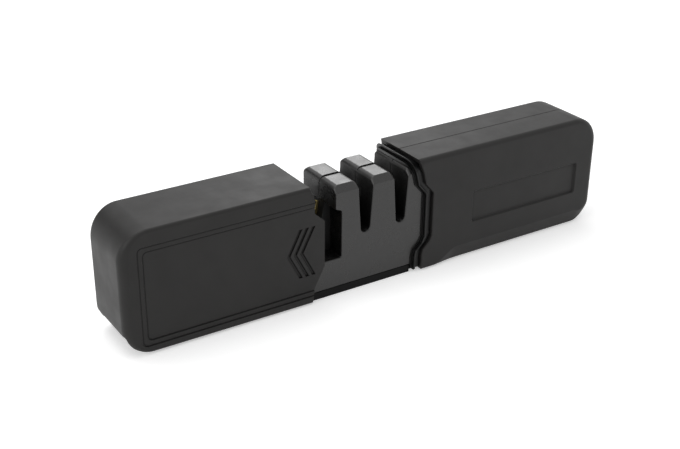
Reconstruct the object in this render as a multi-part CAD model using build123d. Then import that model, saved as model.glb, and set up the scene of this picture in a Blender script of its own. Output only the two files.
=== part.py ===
from build123d import *
import math
import os

# Whole product: lengths in millimetres, X along the tool with the handle at +X, Y- is the front.
# Pieces are drawn from a datum where the cover's roof ends at X = 0 and the shells' lower rims are at Z = 0.
height = 45.6
width = 26.8
handle_end = 135.3
pad_proud = 0.7
running_gap = 0.3
fit_gap = 0.1
overrun = 2.0
seam_width = 0.3
seam_depth = 0.35

# Travel of the cover from the drawn place: towards the handle to close, away from it to bare the wide slot
close_travel = 42.9
open_travel = 8.0

# Cover
cover_length = 71.4
cover_wall = 1.4
cover_roof = 1.8
cover_top_radius = 10.8
cover_foot_radius = 10.0
cover_end_round = 3.2
cover_edge_round = 1.2
cover_end_lift = 7.7
cover_inner_radius = 9.0

# Mouth of the cover: a lip that leans out from the roof, then a tongue between two slants
lip_reach = 1.9
lip_drop = 5.1
shoulder_reach = 2.0
shoulder_drop = 10.5
tongue_reach = 6.1
tongue_drop = 14.2
tongue_bottom = 13.5
heel_reach = 1.9
heel_level = 5.5
toe_reach = 1.0

# Stepped panel on both faces of the cover
panel_left_margin = 6.1
panel_top_margin = 5.8
panel_foot_margin = 2.6
panel_step_width = 1.9
panel_step_depth = 0.3
panel_corner = 2.0

# Three nested arrows cut in the panel
arrow_tip_reach = -9.4
arrow_pitch = 2.65
arrow_sink = 0.4
arrow_rise = 9.6
arrow_run = 5.0
arrow_groove = 1.1
arrow_depth = 0.35
arrow_count = 3

# Channel and stop inside the cover, runner on the core
runner_half = 1.5
runner_length = 10.3
runner_inset = 1.0
runner_height = 0.45
channel_rib = 1.3
channel_margin = 3.0
channel_mouth_margin = 1.3
stop_length = 2.0
stop_gap = 0.2

# Core
core_side_gap = 0.7
core_roof_gap = 1.0
core_crown = 0.7
core_bevel_width = 2.1
core_bevel_height = 2.3
core_back_bevel = 1.1
core_bottom = 2.4
tail_start = -22.8
tail_wall = 2.0
tail_corner = 9.3
neck_corner = 4.0
tail_cell_end = -3.4
neck_end = 63.0
neck_groove_start = 56.2
neck_groove_width = 2.2
neck_groove_depth = 1.2

# Narrow slots
slot_first = 24.6
slot_pitch = 15.5
slot_mouth_half = 3.0
slot_mouth_drop = 4.0
slot_foot_half = 1.95
slot_foot_rise = 2.0
slot_depth = 21.2
slot_lip_round = 2.1

# Wide slot with its undercut pocket
wide_centre = 7.0
wide_mouth_half = 4.65
wide_pocket_half = 7.2
wide_step_drop = 9.3
wide_step_slope = 1.0
wide_depth = 28.9
wide_corner = 0.6

# Carriers that hold the sharpening pieces in the middle of the slots
carrier_depth_half = 3.6
narrow_carrier_half = 6.2
narrow_carrier_foot = 5.1
narrow_carrier_drop = 7.3
wide_carrier_half = 8.6
wide_carrier_foot = 2.9
wide_vee_foot_half = 1.3
wide_vee_foot_rise = 3.7

# Blades and rods: they cross in a V, each leaning out from the crossing
vee_angle = 18.0
narrow_crossing_rise = 4.0
narrow_above = 8.6
narrow_below = 6.8
carbide_width = 3.2
carbide_thickness = 1.3
gold_crossing_rise = 7.6
gold_above = 12.0
gold_below = 6.8
gold_width = 4.2
gold_thickness = 1.7
rod_diameter = 3.0
rod_spread = 1.65
rod_above = 9.2
rod_below = 4.4
pin_diameter = 1.3
pin_drop = 4.9

# Collar between the core and the handle
rim_lip = 43.5
rim_lip_drop = 5.3
rim_lip_foot = 45.5
rim_shoulder = 46.8
rim_shoulder_drop = 10.4
rim_tongue = 50.4
rim_tongue_drop = 14.6
rim_tongue_bottom = 13.2
rim_turn = 49.6
rim_turn_level = 11.2
rim_heel = 46.5
rim_heel_level = 8.2
rim_toe = 46.0
rim_toe_level = 6.0
collar_band = 1.0
collar_ridge = 0.75
collar_groove = 2.4
collar_groove_drop = 1.0
collar_ridge_drop = 0.3
collar_band_bottom = 1.2
collar_corner = 2.2

# Handle
handle_wall = 2.0
handle_crown = 0.1
handle_top_radius = 11.5
handle_bottom_radius = 8.6
handle_end_round = 2.8
handle_edge_round = 1.8
handle_tuck_level = 5.6
handle_tuck = 1.5
handle_panel_start = 72.6
handle_panel_length = 52.8
handle_panel_bottom = 14.0
handle_panel_height = 13.0
handle_panel_depth = 0.9
handle_panel_slope = 0.7
rib_width = 1.6
rib_bottom = 9.0
rib_drop = 9.6
rib_gap = 0.15

# Rubber pads under the core and the handle
pad_rounding = 0.6
handle_pad_start = 62.0
handle_pad_end = 124.0
handle_pad_half = 7.5
handle_pad_sink = 1.2

# Screws: the same kind for core and handle, driven from the back
screw_diameter = 2.4
screw_head = 4.4
screw_head_height = 1.8
screw_length = 13.0
screw_head_level = 5.6
screw_socket = 1.4
screw_socket_depth = 1.0
boss_diameter = 6.4
counterbore = 5.2
core_screw_rise = 7.2
core_screw_drop = 7.8
tail_screw_place = -14.0
neck_screw_place = 60.2
handle_screw_near = 69.0
handle_screw_far = 119.0
handle_screw_rise = 9.5
handle_screw_drop = 10.0

half_width = width / 2
middle_level = height / 2
cover_inner_half = half_width - cover_wall
cover_inner_top = height - cover_roof
handle_inner_half = half_width - handle_wall
collar_band_half = cover_inner_half - running_gap
collar_band_top = cover_inner_top - running_gap
core_half = cover_inner_half - core_side_gap
core_top = cover_inner_top - core_roof_gap
slot_mouth_level = core_top - slot_mouth_drop
slot_floor = core_top - slot_depth
slot_foot_level = slot_floor + slot_foot_rise
wide_floor = core_top - wide_depth
wide_step_level = core_top - wide_step_drop
wide_vee_foot_level = wide_floor + wide_vee_foot_rise
narrow_carrier_bottom = slot_floor - narrow_carrier_foot
narrow_carrier_top = core_top - narrow_carrier_drop
wide_carrier_bottom = wide_floor - wide_carrier_foot
narrow_crossing = slot_floor + narrow_crossing_rise
gold_crossing = wide_floor + gold_crossing_rise
arrow_level = (panel_foot_margin + height - panel_top_margin) / 2 - arrow_sink
rib_top = height - rib_drop
origin_shift = (cover_length - handle_end) / 2


def outline(points):
    """Face in the XZ drawing plane through the given (x, z) points."""
    return make_face(Polyline(*points, close=True))


def rounded(face, corners, radius):
    """The face with the corners nearest to the given points rounded."""
    picked = [face.vertices().sort_by_distance((x, z, 0))[0] for x, z in corners]
    return fillet(picked, radius)


def slab(face, y_low, y_high):
    """Solid between two depths from a face drawn in (x, z)."""
    return Pos(0, y_high, 0) * extrude(Plane.XZ * face, amount=y_high - y_low)


def block(x_low, x_high, y_low, y_high, z_low, z_high):
    """Box between named limits."""
    sizes = (x_high - x_low, y_high - y_low, z_high - z_low)
    middle = ((x_low + x_high) / 2, (y_low + y_high) / 2, (z_low + z_high) / 2)
    return Pos(*middle) * Box(*sizes)


def along_y(diameter, x, z, y_low, y_high):
    """Round bar parallel to Y."""
    bar = Cylinder(diameter / 2, y_high - y_low)
    return Pos(x, (y_low + y_high) / 2, z) * Rot(90, 0, 0) * bar


def front_of(solid):
    """The part of a solid in front of the seam plane."""
    reach = 2 * cover_length + 2 * handle_end
    return solid & block(-reach, reach, -width, 0, -height, 2 * height)


def back_of(solid):
    """The part of a solid behind the seam plane."""
    reach = 2 * cover_length + 2 * handle_end
    return solid & block(-reach, reach, 0, width, -height, 2 * height)


def mirrored(solid):
    """The same solid on the other side of the seam plane."""
    return mirror(solid, about=Plane.XZ)


def mouth_points(base=0.0):
    """Edge of the cover's mouth from roof to rim, moved along X by base."""
    return [
        (base, height),
        (base + lip_reach, height - lip_drop),
        (base + shoulder_reach, height - shoulder_drop),
        (base + tongue_reach, height - tongue_drop),
        (base + tongue_reach, tongue_bottom),
        (base + heel_reach, heel_level),
        (base + toe_reach, 0),
    ]


def rim_points(shift=0.0, top=height, bottom=0.0):
    """Line of the collar from top to bottom, moved along X by shift."""
    return [
        (rim_lip + shift, top),
        (rim_lip_foot + shift, height - rim_lip_drop),
        (rim_shoulder + shift, height - rim_shoulder_drop),
        (rim_tongue + shift, height - rim_tongue_drop),
        (rim_tongue + shift, rim_tongue_bottom),
        (rim_turn + shift, rim_turn_level),
        (rim_heel + shift, rim_heel_level),
        (rim_toe + shift, rim_toe_level),
        (rim_toe + shift, bottom),
    ]


def cover_body():
    """Outer form of the cover: side profile, plan with a rounded closed end and section crossed."""
    left = -cover_length
    profile = outline([(left, height)] + mouth_points() + [(left, 0)])
    profile = rounded(profile, [(left, height)], cover_top_radius)
    profile = rounded(profile, [(left, 0)], cover_foot_radius)
    body = slab(profile, -half_width, half_width)
    reach = tongue_reach + overrun
    plan = make_face(
        Polyline(
            (left, -half_width), (reach, -half_width), (reach, half_width), (left, half_width), close=True
        )
    )
    plan = rounded(plan, [(left, -half_width), (left, half_width)], cover_end_round)
    section = make_face(
        Polyline((-half_width, 0), (-half_width, height), (half_width, height), (half_width, 0), close=True)
    )
    section = rounded(section, [(-half_width, height), (half_width, height)], cover_edge_round)
    bar = Pos(left, 0, 0) * extrude(Plane.YZ * section, amount=reach - left)
    return body & extrude(plan, amount=height) & bar


def cover_cavity():
    """Hollow of the cover, open below and at the mouth."""
    left = -cover_length + cover_wall
    reach = tongue_reach + overrun
    corners = [(left, -overrun), (left, cover_inner_top), (reach, cover_inner_top), (reach, -overrun)]
    profile = rounded(outline(corners), [(left, cover_inner_top)], cover_inner_radius)
    hollow = slab(profile, -cover_inner_half, cover_inner_half)
    below_end = block(
        -cover_length - overrun, left + overrun, -cover_inner_half, cover_inner_half, -overrun, cover_end_lift
    )
    return hollow + below_end


def panel_step(margin, depth):
    """Shallow step of the cover's front panel, open at the mouth."""
    left = -cover_length + panel_left_margin + margin
    right = tongue_reach + overrun
    top = height - panel_top_margin - margin
    bottom = panel_foot_margin + margin
    corners = [(left, bottom), (left, top), (right, top), (right, bottom)]
    face = rounded(outline(corners), [(left, bottom), (left, top)], panel_corner)
    return slab(face, -half_width - overrun, -half_width + depth)


def arrow_groove_cut(place):
    """One engraved arrow whose tip is at the given X."""
    tip = (place, arrow_level)
    upper = (place + arrow_run, arrow_level + arrow_rise)
    lower = (place + arrow_run, arrow_level - arrow_rise)
    face = outline(
        [
            tip,
            upper,
            (upper[0] + arrow_groove, upper[1]),
            (place + arrow_groove, arrow_level),
            (lower[0] + arrow_groove, lower[1]),
            lower,
        ]
    )
    floor = -half_width + 2 * panel_step_depth + arrow_depth
    return slab(face, -half_width - overrun, floor)


def cover_face_cuts():
    """Panel steps and arrows of the front face."""
    cuts = panel_step(0, panel_step_depth) + panel_step(panel_step_width, 2 * panel_step_depth)
    for index in range(arrow_count):
        cuts += arrow_groove_cut(arrow_tip_reach + index * arrow_pitch)
    return cuts


def channel_ribs():
    """Two ribs and a stop on the inner front wall, which guide and hold the core's runner."""
    left = -cover_length + cover_wall + channel_margin
    right = -channel_mouth_margin
    outer = -cover_inner_half - fit_gap
    inner = -core_half - running_gap
    gap = runner_half + running_gap
    lower = block(left, right, outer, inner, middle_level - gap - channel_rib, middle_level - gap)
    upper = block(left, right, outer, inner, middle_level + gap, middle_level + gap + channel_rib)
    runner_end = tail_start + runner_inset + runner_length
    stop_left = runner_end + open_travel + stop_gap
    stop = block(stop_left, stop_left + stop_length, outer, inner, middle_level - gap, middle_level + gap)
    return lower + upper + stop


def cover_shell():
    """Sliding cover with its panel, arrows, channels and stops."""
    cuts = cover_face_cuts()
    ribs = channel_ribs()
    shell = cover_body() - cover_cavity() - cuts - mirrored(cuts)
    return shell + ribs + mirrored(ribs)


def core_section(bevel_width, bevel_height):
    """Half of the core's section in (y, z), crowned on top and bevelled at the shoulder."""
    edge_top = core_top - core_crown
    return make_face(
        Polyline(
            (0, core_bottom),
            (-core_half, core_bottom),
            (-core_half, edge_top - bevel_height),
            (-core_half + bevel_width, edge_top),
            (0, core_top),
            close=True,
        )
    )


def core_bar(start, end):
    """Full core section carried along X between two places; its front bevel is the larger one."""
    front = extrude(Plane.YZ * core_section(core_bevel_width, core_bevel_height), amount=end - start)
    back = extrude(Plane.YZ * core_section(core_back_bevel, core_back_bevel), amount=end - start)
    return Pos(start, 0, 0) * (front + mirrored(back))


def lip_roll(centre, half):
    """Two quarter rolls that round the top edges of a slot."""
    radius = slot_lip_round
    level = core_top - radius
    roll = None
    for side in (-1, 1):
        inner = centre + side * half
        outer = inner + side * radius
        corner = outline([(inner, level), (outer, level), (outer, core_top), (inner, core_top)])
        corner -= Pos(outer, level, 0) * Circle(radius)
        over = outline([(inner, core_top), (outer, core_top), (outer, height), (inner, height)])
        roll = corner + over if roll is None else roll + corner + over
    return roll


def narrow_slot_face(centre):
    """Tapering slot with a round foot and rolled mouth edges, in (x, z)."""
    face = outline(
        [
            (centre - slot_mouth_half, height),
            (centre - slot_mouth_half, slot_mouth_level),
            (centre - slot_foot_half, slot_foot_level),
            (centre - slot_foot_half, slot_floor),
            (centre + slot_foot_half, slot_floor),
            (centre + slot_foot_half, slot_foot_level),
            (centre + slot_mouth_half, slot_mouth_level),
            (centre + slot_mouth_half, height),
        ]
    )
    corners = [(centre - slot_foot_half, slot_floor), (centre + slot_foot_half, slot_floor)]
    face = rounded(face, corners, slot_foot_half - fit_gap)
    return face + lip_roll(centre, slot_mouth_half)


def wide_slot_face():
    """Wide slot over its undercut pocket, in (x, z)."""
    face = outline(
        [
            (wide_centre - wide_mouth_half, height),
            (wide_centre - wide_mouth_half, wide_step_level),
            (wide_centre - wide_pocket_half, wide_step_level - wide_step_slope),
            (wide_centre - wide_pocket_half, wide_floor),
            (wide_centre + wide_pocket_half, wide_floor),
            (wide_centre + wide_pocket_half, wide_step_level - wide_step_slope),
            (wide_centre + wide_mouth_half, wide_step_level),
            (wide_centre + wide_mouth_half, height),
        ]
    )
    corners = [(wide_centre - wide_pocket_half, wide_floor), (wide_centre + wide_pocket_half, wide_floor)]
    face = rounded(face, corners, wide_corner)
    return face + lip_roll(wide_centre, wide_mouth_half)


def slot_centres():
    """Middle of each narrow slot along X."""
    return [slot_first, slot_first + slot_pitch]


def slot_cuts():
    """All three slots through the core."""
    cuts = slab(wide_slot_face(), -width, width)
    for centre in slot_centres():
        cuts += slab(narrow_slot_face(centre), -width, width)
    return cuts


def carrier_pockets():
    """Pockets in the middle of the core for the three carriers."""
    depth = carrier_depth_half + fit_gap
    pockets = block(
        wide_centre - wide_carrier_half - fit_gap,
        wide_centre + wide_carrier_half + fit_gap,
        -depth,
        depth,
        wide_carrier_bottom - fit_gap,
        wide_step_level,
    )
    for centre in slot_centres():
        pockets += block(
            centre - narrow_carrier_half - fit_gap,
            centre + narrow_carrier_half + fit_gap,
            -depth,
            depth,
            narrow_carrier_bottom - fit_gap,
            narrow_carrier_top + fit_gap,
        )
    return pockets


def tail_screw_places():
    """Places of the two screws in the core's tail, in (x, z)."""
    return [(tail_screw_place, core_bottom + core_screw_rise), (tail_screw_place, core_top - core_screw_drop)]


def core_screw_places():
    """Places of the core screws in (x, z): two in the tail and one in the neck."""
    return tail_screw_places() + [(neck_screw_place, middle_level)]


def handle_screw_places():
    """Places of the handle screws in (x, z): one near the rim and two at the far end."""
    far = [(handle_screw_far, height - handle_screw_drop), (handle_screw_far, handle_screw_rise)]
    return [(handle_screw_near, middle_level)] + far


def tail_cell():
    """Hollow of the tail between its outer wall, end wall, floor and roof."""
    floor = core_bottom + tail_wall
    roof = core_top - core_bevel_height - tail_wall
    return block(
        tail_start + tail_wall, tail_cell_end, -core_half + tail_wall, core_half - tail_wall, floor, roof
    )


def tail_bosses():
    """Screw bosses that cross the tail's hollow."""
    reach = core_half - tail_wall / 2
    low, high = [along_y(boss_diameter, x, z, -reach, reach) for x, z in tail_screw_places()]
    return low + high


def neck_grooves():
    """Upright grooves in both faces of the neck, where the handle's ribs lock in."""
    end = neck_groove_start + neck_groove_width
    front = block(
        neck_groove_start, end, -core_half - overrun, -core_half + neck_groove_depth, rib_bottom - rib_gap,
        rib_top + rib_gap,
    )
    return front + mirrored(front)


def seam_ring(face, y_half, depth):
    """Thin ring that follows an outline at the seam, cut as a fine joint line."""
    return slab(face - offset(face, amount=-depth), -y_half, y_half)


def core_profile():
    """Side view of the core with its slots, in (x, z)."""
    corners = [(tail_start, core_bottom), (neck_end, core_bottom), (neck_end, core_top), (tail_start, core_top)]
    face = rounded(outline(corners), [(tail_start, core_top)], tail_corner)
    return rounded(face, [(neck_end, core_top)], neck_corner)


def core_seam():
    """Joint line along the tops of the teeth."""
    start = tail_start - overrun
    return block(start, neck_end + overrun, -seam_width / 2, seam_width / 2, core_top - seam_depth, height)


def core_body():
    """Both halves of the core as one body, before it is parted at the seam."""
    body = core_bar(tail_start, neck_end) & slab(core_profile(), -width, width)
    body -= tail_cell()
    body += tail_bosses()
    body -= slot_cuts() + carrier_pockets() + neck_grooves() + core_seam()
    return body


def runner():
    """Raised runner on the front of the tail."""
    left = tail_start + runner_inset
    outer = -core_half - runner_height
    return block(
        left, left + runner_length, outer, -core_half + fit_gap, middle_level - runner_half,
        middle_level + runner_half,
    )


def screw_tip():
    """Depth that a screw reaches in front of the seam."""
    return screw_head_level - screw_length


def front_screw_holes(places):
    """Blind holes in a front half."""
    return [along_y(screw_diameter + fit_gap, x, z, screw_tip() - fit_gap, overrun) for x, z in places]


def back_screw_holes(places):
    """Through holes with counterbores in a back half."""
    holes = []
    for x, z in places:
        holes.append(along_y(screw_diameter + fit_gap, x, z, -overrun, width))
        holes.append(along_y(counterbore, x, z, screw_head_level, width))
    return holes


def core_front():
    """Front half of the core."""
    half = front_of(core_body()) + runner()
    for hole in front_screw_holes(core_screw_places()):
        half -= hole
    return half


def core_back():
    """Back half of the core."""
    half = back_of(core_body()) + mirrored(runner())
    for hole in back_screw_holes(core_screw_places()):
        half -= hole
    return half


def screw(x, z):
    """Pan head screw driven from the back, with a six-sided socket."""
    shank = along_y(screw_diameter, x, z, screw_tip(), screw_head_level + fit_gap)
    head = along_y(screw_head, x, z, screw_head_level, screw_head_level + screw_head_height)
    floor = screw_head_level + screw_head_height - screw_socket_depth
    socket = Pos(x, floor, z) * Rot(-90, 0, 0) * extrude(RegularPolygon(screw_socket, 6), amount=overrun)
    return shank + head - socket


def screw_group(places):
    """Identical screws as one group of separate solids."""
    return Compound([screw(x, z) for x, z in places])


def blade_frame(centre, crossing, side):
    """Crossing point, direction up the edge and direction away from the edge, in (x, z)."""
    angle = math.radians(vee_angle)
    up = Vector(side * math.sin(angle), math.cos(angle))
    away = Vector(side * math.cos(angle), -math.sin(angle))
    return Vector(centre, crossing), up, away


def blade_face(centre, crossing, side, above, below, wide):
    """Side view of one leaning blade."""
    point, up, away = blade_frame(centre, crossing, side)
    corners = [point - up * below, point + up * above, point + up * above + away * wide]
    corners.append(point - up * below + away * wide)
    return outline([(corner.X, corner.Y) for corner in corners])


def blade_depths(side, thickness):
    """Depth range of a blade: the left one lies in front of the seam, the right one behind."""
    return (-thickness, 0) if side < 0 else (0, thickness)


def cross_pin(centre, crossing):
    """Dowel pin through a carrier and both of its blades, under their crossing."""
    return along_y(pin_diameter, centre, crossing - pin_drop, -carrier_depth_half, carrier_depth_half)


def cross_pin_hole(centre, crossing):
    """Hole for a carrier's dowel pin."""
    reach = carrier_depth_half + overrun
    return along_y(pin_diameter + fit_gap, centre, crossing - pin_drop, -reach, reach)


def gold_blade_blank(side):
    """Coated blade of the wide slot before its pin hole."""
    face = blade_face(wide_centre, gold_crossing, side, gold_above, gold_below, gold_width)
    return slab(face, *blade_depths(side, gold_thickness))


def carbide_blade_blank(side):
    """Carbide blade before its pin hole."""
    face = blade_face(slot_first, narrow_crossing, side, narrow_above, narrow_below, carbide_width)
    return slab(face, *blade_depths(side, carbide_thickness))


def gold_blade(side):
    """Coated blade of the wide slot with its pin hole."""
    return gold_blade_blank(side) - cross_pin_hole(wide_centre, gold_crossing)


def carbide_blade(side):
    """Carbide blade with its pin hole."""
    return carbide_blade_blank(side) - cross_pin_hole(slot_first, narrow_crossing)


def rod(side, diameter):
    """Leaning round rod whose inner side passes through the crossing."""
    centre = slot_first + slot_pitch
    point, up, away = blade_frame(centre, narrow_crossing, side)
    middle = point + up * ((rod_above - rod_below) / 2) + away * (rod_diameter / 2)
    bar = Cylinder(diameter / 2, rod_above + rod_below)
    return Pos(middle.X, side * rod_spread, middle.Y) * Rot(0, side * vee_angle, 0) * bar


def narrow_carrier(centre):
    """Carrier block of a narrow slot."""
    body = block(
        centre - narrow_carrier_half,
        centre + narrow_carrier_half,
        -carrier_depth_half,
        carrier_depth_half,
        narrow_carrier_bottom,
        narrow_carrier_top,
    )
    return body - slab(narrow_slot_face(centre), -width, width)


def carbide_holder():
    """Carrier of the carbide blades."""
    body = narrow_carrier(slot_first)
    for side in (-1, 1):
        body -= carbide_blade_blank(side)
    return body - cross_pin_hole(slot_first, narrow_crossing)


def ceramic_holder():
    """Carrier of the ceramic rods."""
    body = narrow_carrier(slot_first + slot_pitch)
    for side in (-1, 1):
        body -= rod(side, rod_diameter + fit_gap)
    return body


def gold_holder():
    """Carrier of the wide slot's blades, with a broad V between its cheeks."""
    body = block(
        wide_centre - wide_carrier_half,
        wide_centre + wide_carrier_half,
        -carrier_depth_half,
        carrier_depth_half,
        wide_carrier_bottom,
        wide_step_level - fit_gap,
    )
    vee = outline(
        [
            (wide_centre - wide_mouth_half, height),
            (wide_centre - wide_mouth_half, wide_step_level),
            (wide_centre - wide_vee_foot_half, wide_vee_foot_level),
            (wide_centre + wide_vee_foot_half, wide_vee_foot_level),
            (wide_centre + wide_mouth_half, wide_step_level),
            (wide_centre + wide_mouth_half, height),
        ]
    )
    body -= slab(vee, -width, width)
    for side in (-1, 1):
        body -= gold_blade_blank(side)
    return body - cross_pin_hole(wide_centre, gold_crossing)


def collar_ring(start_shift, end_shift, half, bottom, top):
    """Ring round the core between two copies of the rim line, trimmed to an outer section."""
    left = rim_points(start_shift, top, bottom)
    right = rim_points(end_shift, top, bottom)
    ring = slab(outline(left + right[::-1]), -half, half)
    section = make_face(Polyline((-half, bottom), (-half, top), (half, top), (half, bottom), close=True))
    section = rounded(section, [(-half, top), (half, top)], collar_corner)
    bar = Pos(rim_lip - handle_end, 0, 0) * extrude(Plane.YZ * section, amount=2 * handle_end)
    return ring & bar


def rim_collar():
    """Soft black collar: low band, thin ridge and groove beside the handle."""
    band = collar_ring(-collar_band, fit_gap, collar_band_half, collar_band_bottom, collar_band_top)
    ridge = collar_ring(
        0, collar_ridge + fit_gap, half_width - collar_ridge_drop, collar_ridge_drop, height - collar_ridge_drop
    )
    groove = collar_ring(
        collar_ridge,
        collar_ridge + collar_groove,
        half_width - collar_groove_drop,
        collar_groove_drop,
        height - collar_groove_drop,
    )
    return band + ridge + groove - core_bar(tail_start, neck_end)


def handle_profile(inset=0.0):
    """Side view of the handle, in (x, z), drawn in by an inset except at the rim."""
    shift = collar_ridge + collar_groove
    top = height - inset
    right = handle_end - inset
    points = rim_points(shift, top, inset) if not inset else [(rim_lip, top), (rim_lip, inset)]
    face = outline(points + [(right, inset), (right, top)])
    face = rounded(face, [(right, top)], handle_top_radius - inset)
    return rounded(face, [(right, inset)], handle_bottom_radius - inset)


def handle_section():
    """Section of the handle in (y, z): crowned on top, tucked in at the foot."""
    edge_top = height - handle_crown
    face = make_face(
        Polyline(
            (half_width - handle_tuck, 0),
            (half_width, handle_tuck_level),
            (half_width, edge_top),
            (0, height),
            (-half_width, edge_top),
            (-half_width, handle_tuck_level),
            (-half_width + handle_tuck, 0),
            close=True,
        )
    )
    return rounded(face, [(-half_width, edge_top), (half_width, edge_top)], handle_edge_round)


def handle_outer():
    """Outer form of the handle: side view, section and plan crossed."""
    body = slab(handle_profile(), -half_width, half_width)
    body &= extrude(Plane.YZ * handle_section(), amount=handle_end)
    plan = make_face(
        Polyline((0, -half_width), (handle_end, -half_width), (handle_end, half_width), (0, half_width), close=True)
    )
    plan = rounded(plan, [(handle_end, -half_width), (handle_end, half_width)], handle_end_round)
    return body & extrude(plan, amount=height)


def handle_panel():
    """Recessed panel with sloping walls in the front face."""
    right = handle_panel_start + handle_panel_length
    top = handle_panel_bottom + handle_panel_height
    slope = handle_panel_slope
    wide = outline(
        [
            (handle_panel_start, handle_panel_bottom),
            (right, handle_panel_bottom),
            (right, top),
            (handle_panel_start, top),
        ]
    )
    narrow = outline(
        [
            (handle_panel_start + slope, handle_panel_bottom + slope),
            (right - slope, handle_panel_bottom + slope),
            (right - slope, top - slope),
            (handle_panel_start + slope, top - slope),
        ]
    )
    plane_out = Pos(0, -half_width, 0) * (Plane.XZ * wide)
    plane_in = Pos(0, -half_width + handle_panel_depth, 0) * (Plane.XZ * narrow)
    return loft([plane_out, plane_in])


def handle_ribs():
    """Upright ribs inside both walls, which reach into the neck's grooves."""
    left = neck_groove_start + (neck_groove_width - rib_width) / 2
    tip = -core_half + neck_groove_depth - rib_gap
    front = block(left, left + rib_width, -handle_inner_half - fit_gap, tip, rib_bottom, rib_top)
    return front + mirrored(front)


def handle_bosses():
    """Screw bosses that cross the hollow of the handle."""
    reach = handle_inner_half + fit_gap
    near, high, low = [along_y(boss_diameter, x, z, -reach, reach) for x, z in handle_screw_places()]
    return near + high + low


def handle_pad_recess():
    """Recess under the handle for its rubber pad."""
    return block(
        handle_pad_start - fit_gap,
        handle_pad_end + fit_gap,
        -handle_pad_half - fit_gap,
        handle_pad_half + fit_gap,
        -overrun,
        handle_pad_sink,
    )


def handle_body():
    """Both halves of the handle as one shell, before it is parted at the seam."""
    hollow = slab(handle_profile(handle_wall), -handle_inner_half, handle_inner_half)
    body = handle_outer() - hollow - handle_panel()
    body += handle_ribs() + handle_bosses()
    body -= handle_pad_recess()
    return body - seam_ring(handle_profile(), seam_width / 2, seam_depth)


def handle_front():
    """Front half of the handle."""
    half = front_of(handle_body())
    for hole in front_screw_holes(handle_screw_places()):
        half -= hole
    return half


def handle_back():
    """Back half of the handle."""
    half = back_of(handle_body())
    for hole in back_screw_holes(handle_screw_places()):
        half -= hole
    return half


def base_pad():
    """Rubber sole under the core, as wide as the core."""
    end = rim_toe - collar_band - fit_gap
    pad = block(tail_start, end, -core_half, core_half, -pad_proud, core_bottom)
    low = pad.edges().filter_by(Axis.X).group_by(Axis.Z)[0]
    return fillet(low, pad_rounding)


def handle_pad():
    """Rubber sole let into the underside of the handle."""
    pad = block(handle_pad_start, handle_pad_end, -handle_pad_half, handle_pad_half, -pad_proud, handle_pad_sink)
    pad = fillet(pad.edges().filter_by(Axis.Z), handle_pad_half / 2)
    low = pad.edges().group_by(Axis.Z)[0]
    return chamfer(low, pad_rounding / 2)


def pieces():
    """Every node's name with its solid."""
    return {
        "cover_shell": cover_shell(),
        "core_front": core_front(),
        "core_back": core_back(),
        "core_screws": screw_group(core_screw_places()),
        "handle_front": handle_front(),
        "handle_back": handle_back(),
        "handle_screws": screw_group(handle_screw_places()),
        "rim_collar": rim_collar(),
        "base_pad": base_pad(),
        "handle_pad": handle_pad(),
        "gold_holder": gold_holder(),
        "gold_blade_left": gold_blade(-1),
        "gold_blade_right": gold_blade(1),
        "gold_pin": cross_pin(wide_centre, gold_crossing),
        "carbide_holder": carbide_holder(),
        "carbide_blade_left": carbide_blade(-1),
        "carbide_blade_right": carbide_blade(1),
        "carbide_pin": cross_pin(slot_first, narrow_crossing),
        "ceramic_holder": ceramic_holder(),
        "ceramic_rod_left": rod(-1, rod_diameter),
        "ceramic_rod_right": rod(1, rod_diameter),
    }


os.makedirs("parts", exist_ok=True)
for name, solid in pieces().items():
    placed = Pos(origin_shift, 0, pad_proud) * solid
    export_step(placed, f"parts/{name}.step")
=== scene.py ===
"""Pull-through knife sharpener with a sliding cover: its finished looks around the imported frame.

Every piece is drawn in millimetres from the maker's datum: X = 0 where the cover's roof ends,
Z = 0 at the shells' lower rims, Y- at the front. Datum turns those places into the frame's metres.
"""

import logging
import math
from collections.abc import Sequence
from dataclasses import dataclass, field, replace
from enum import Enum

import bmesh
import bpy
import numpy as np
from mathutils import Matrix, Vector


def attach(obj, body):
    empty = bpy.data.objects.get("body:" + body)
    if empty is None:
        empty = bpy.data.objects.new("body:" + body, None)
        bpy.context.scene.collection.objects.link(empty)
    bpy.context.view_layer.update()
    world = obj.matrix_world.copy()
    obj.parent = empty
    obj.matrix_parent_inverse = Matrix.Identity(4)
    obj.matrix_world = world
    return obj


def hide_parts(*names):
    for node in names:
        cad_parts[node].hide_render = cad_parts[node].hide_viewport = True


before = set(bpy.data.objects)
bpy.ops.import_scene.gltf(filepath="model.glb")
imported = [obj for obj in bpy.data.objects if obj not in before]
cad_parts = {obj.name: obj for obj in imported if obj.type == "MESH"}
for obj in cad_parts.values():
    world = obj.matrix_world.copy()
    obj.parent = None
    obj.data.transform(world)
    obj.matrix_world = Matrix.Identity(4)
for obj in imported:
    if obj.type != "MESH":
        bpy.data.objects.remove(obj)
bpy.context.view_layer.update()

LOG = logging.getLogger("sharpener")
MERGE_DISTANCE = 1e-6
CREASE_ANGLE = math.radians(38)
NORMAL_WEIGHT = 90
NOISE_RANGE = (0.3, 0.7)
CORE_SCREWS = ((-14.0, 9.6), (-14.0, 35.0), (60.2, 22.8))
HANDLE_SCREWS = ((69.0, 22.8), (119.0, 35.6), (119.0, 9.5))
SCREW_SEAT = 5.6
SCREW_BORE = 1.25
HEAD_BORE = 2.6

Pair = tuple[float, float]
Triple = tuple[float, float, float]
Socket = bpy.types.NodeSocket


class Body(Enum):
    """The two rigid bodies that the pieces ride on."""

    CORE = "core_and_handle"
    COVER = "cover"


class Side(Enum):
    """Which way a mirrored piece faces: front or left is negative, back or right positive."""

    LOW = -1
    HIGH = 1


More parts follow.
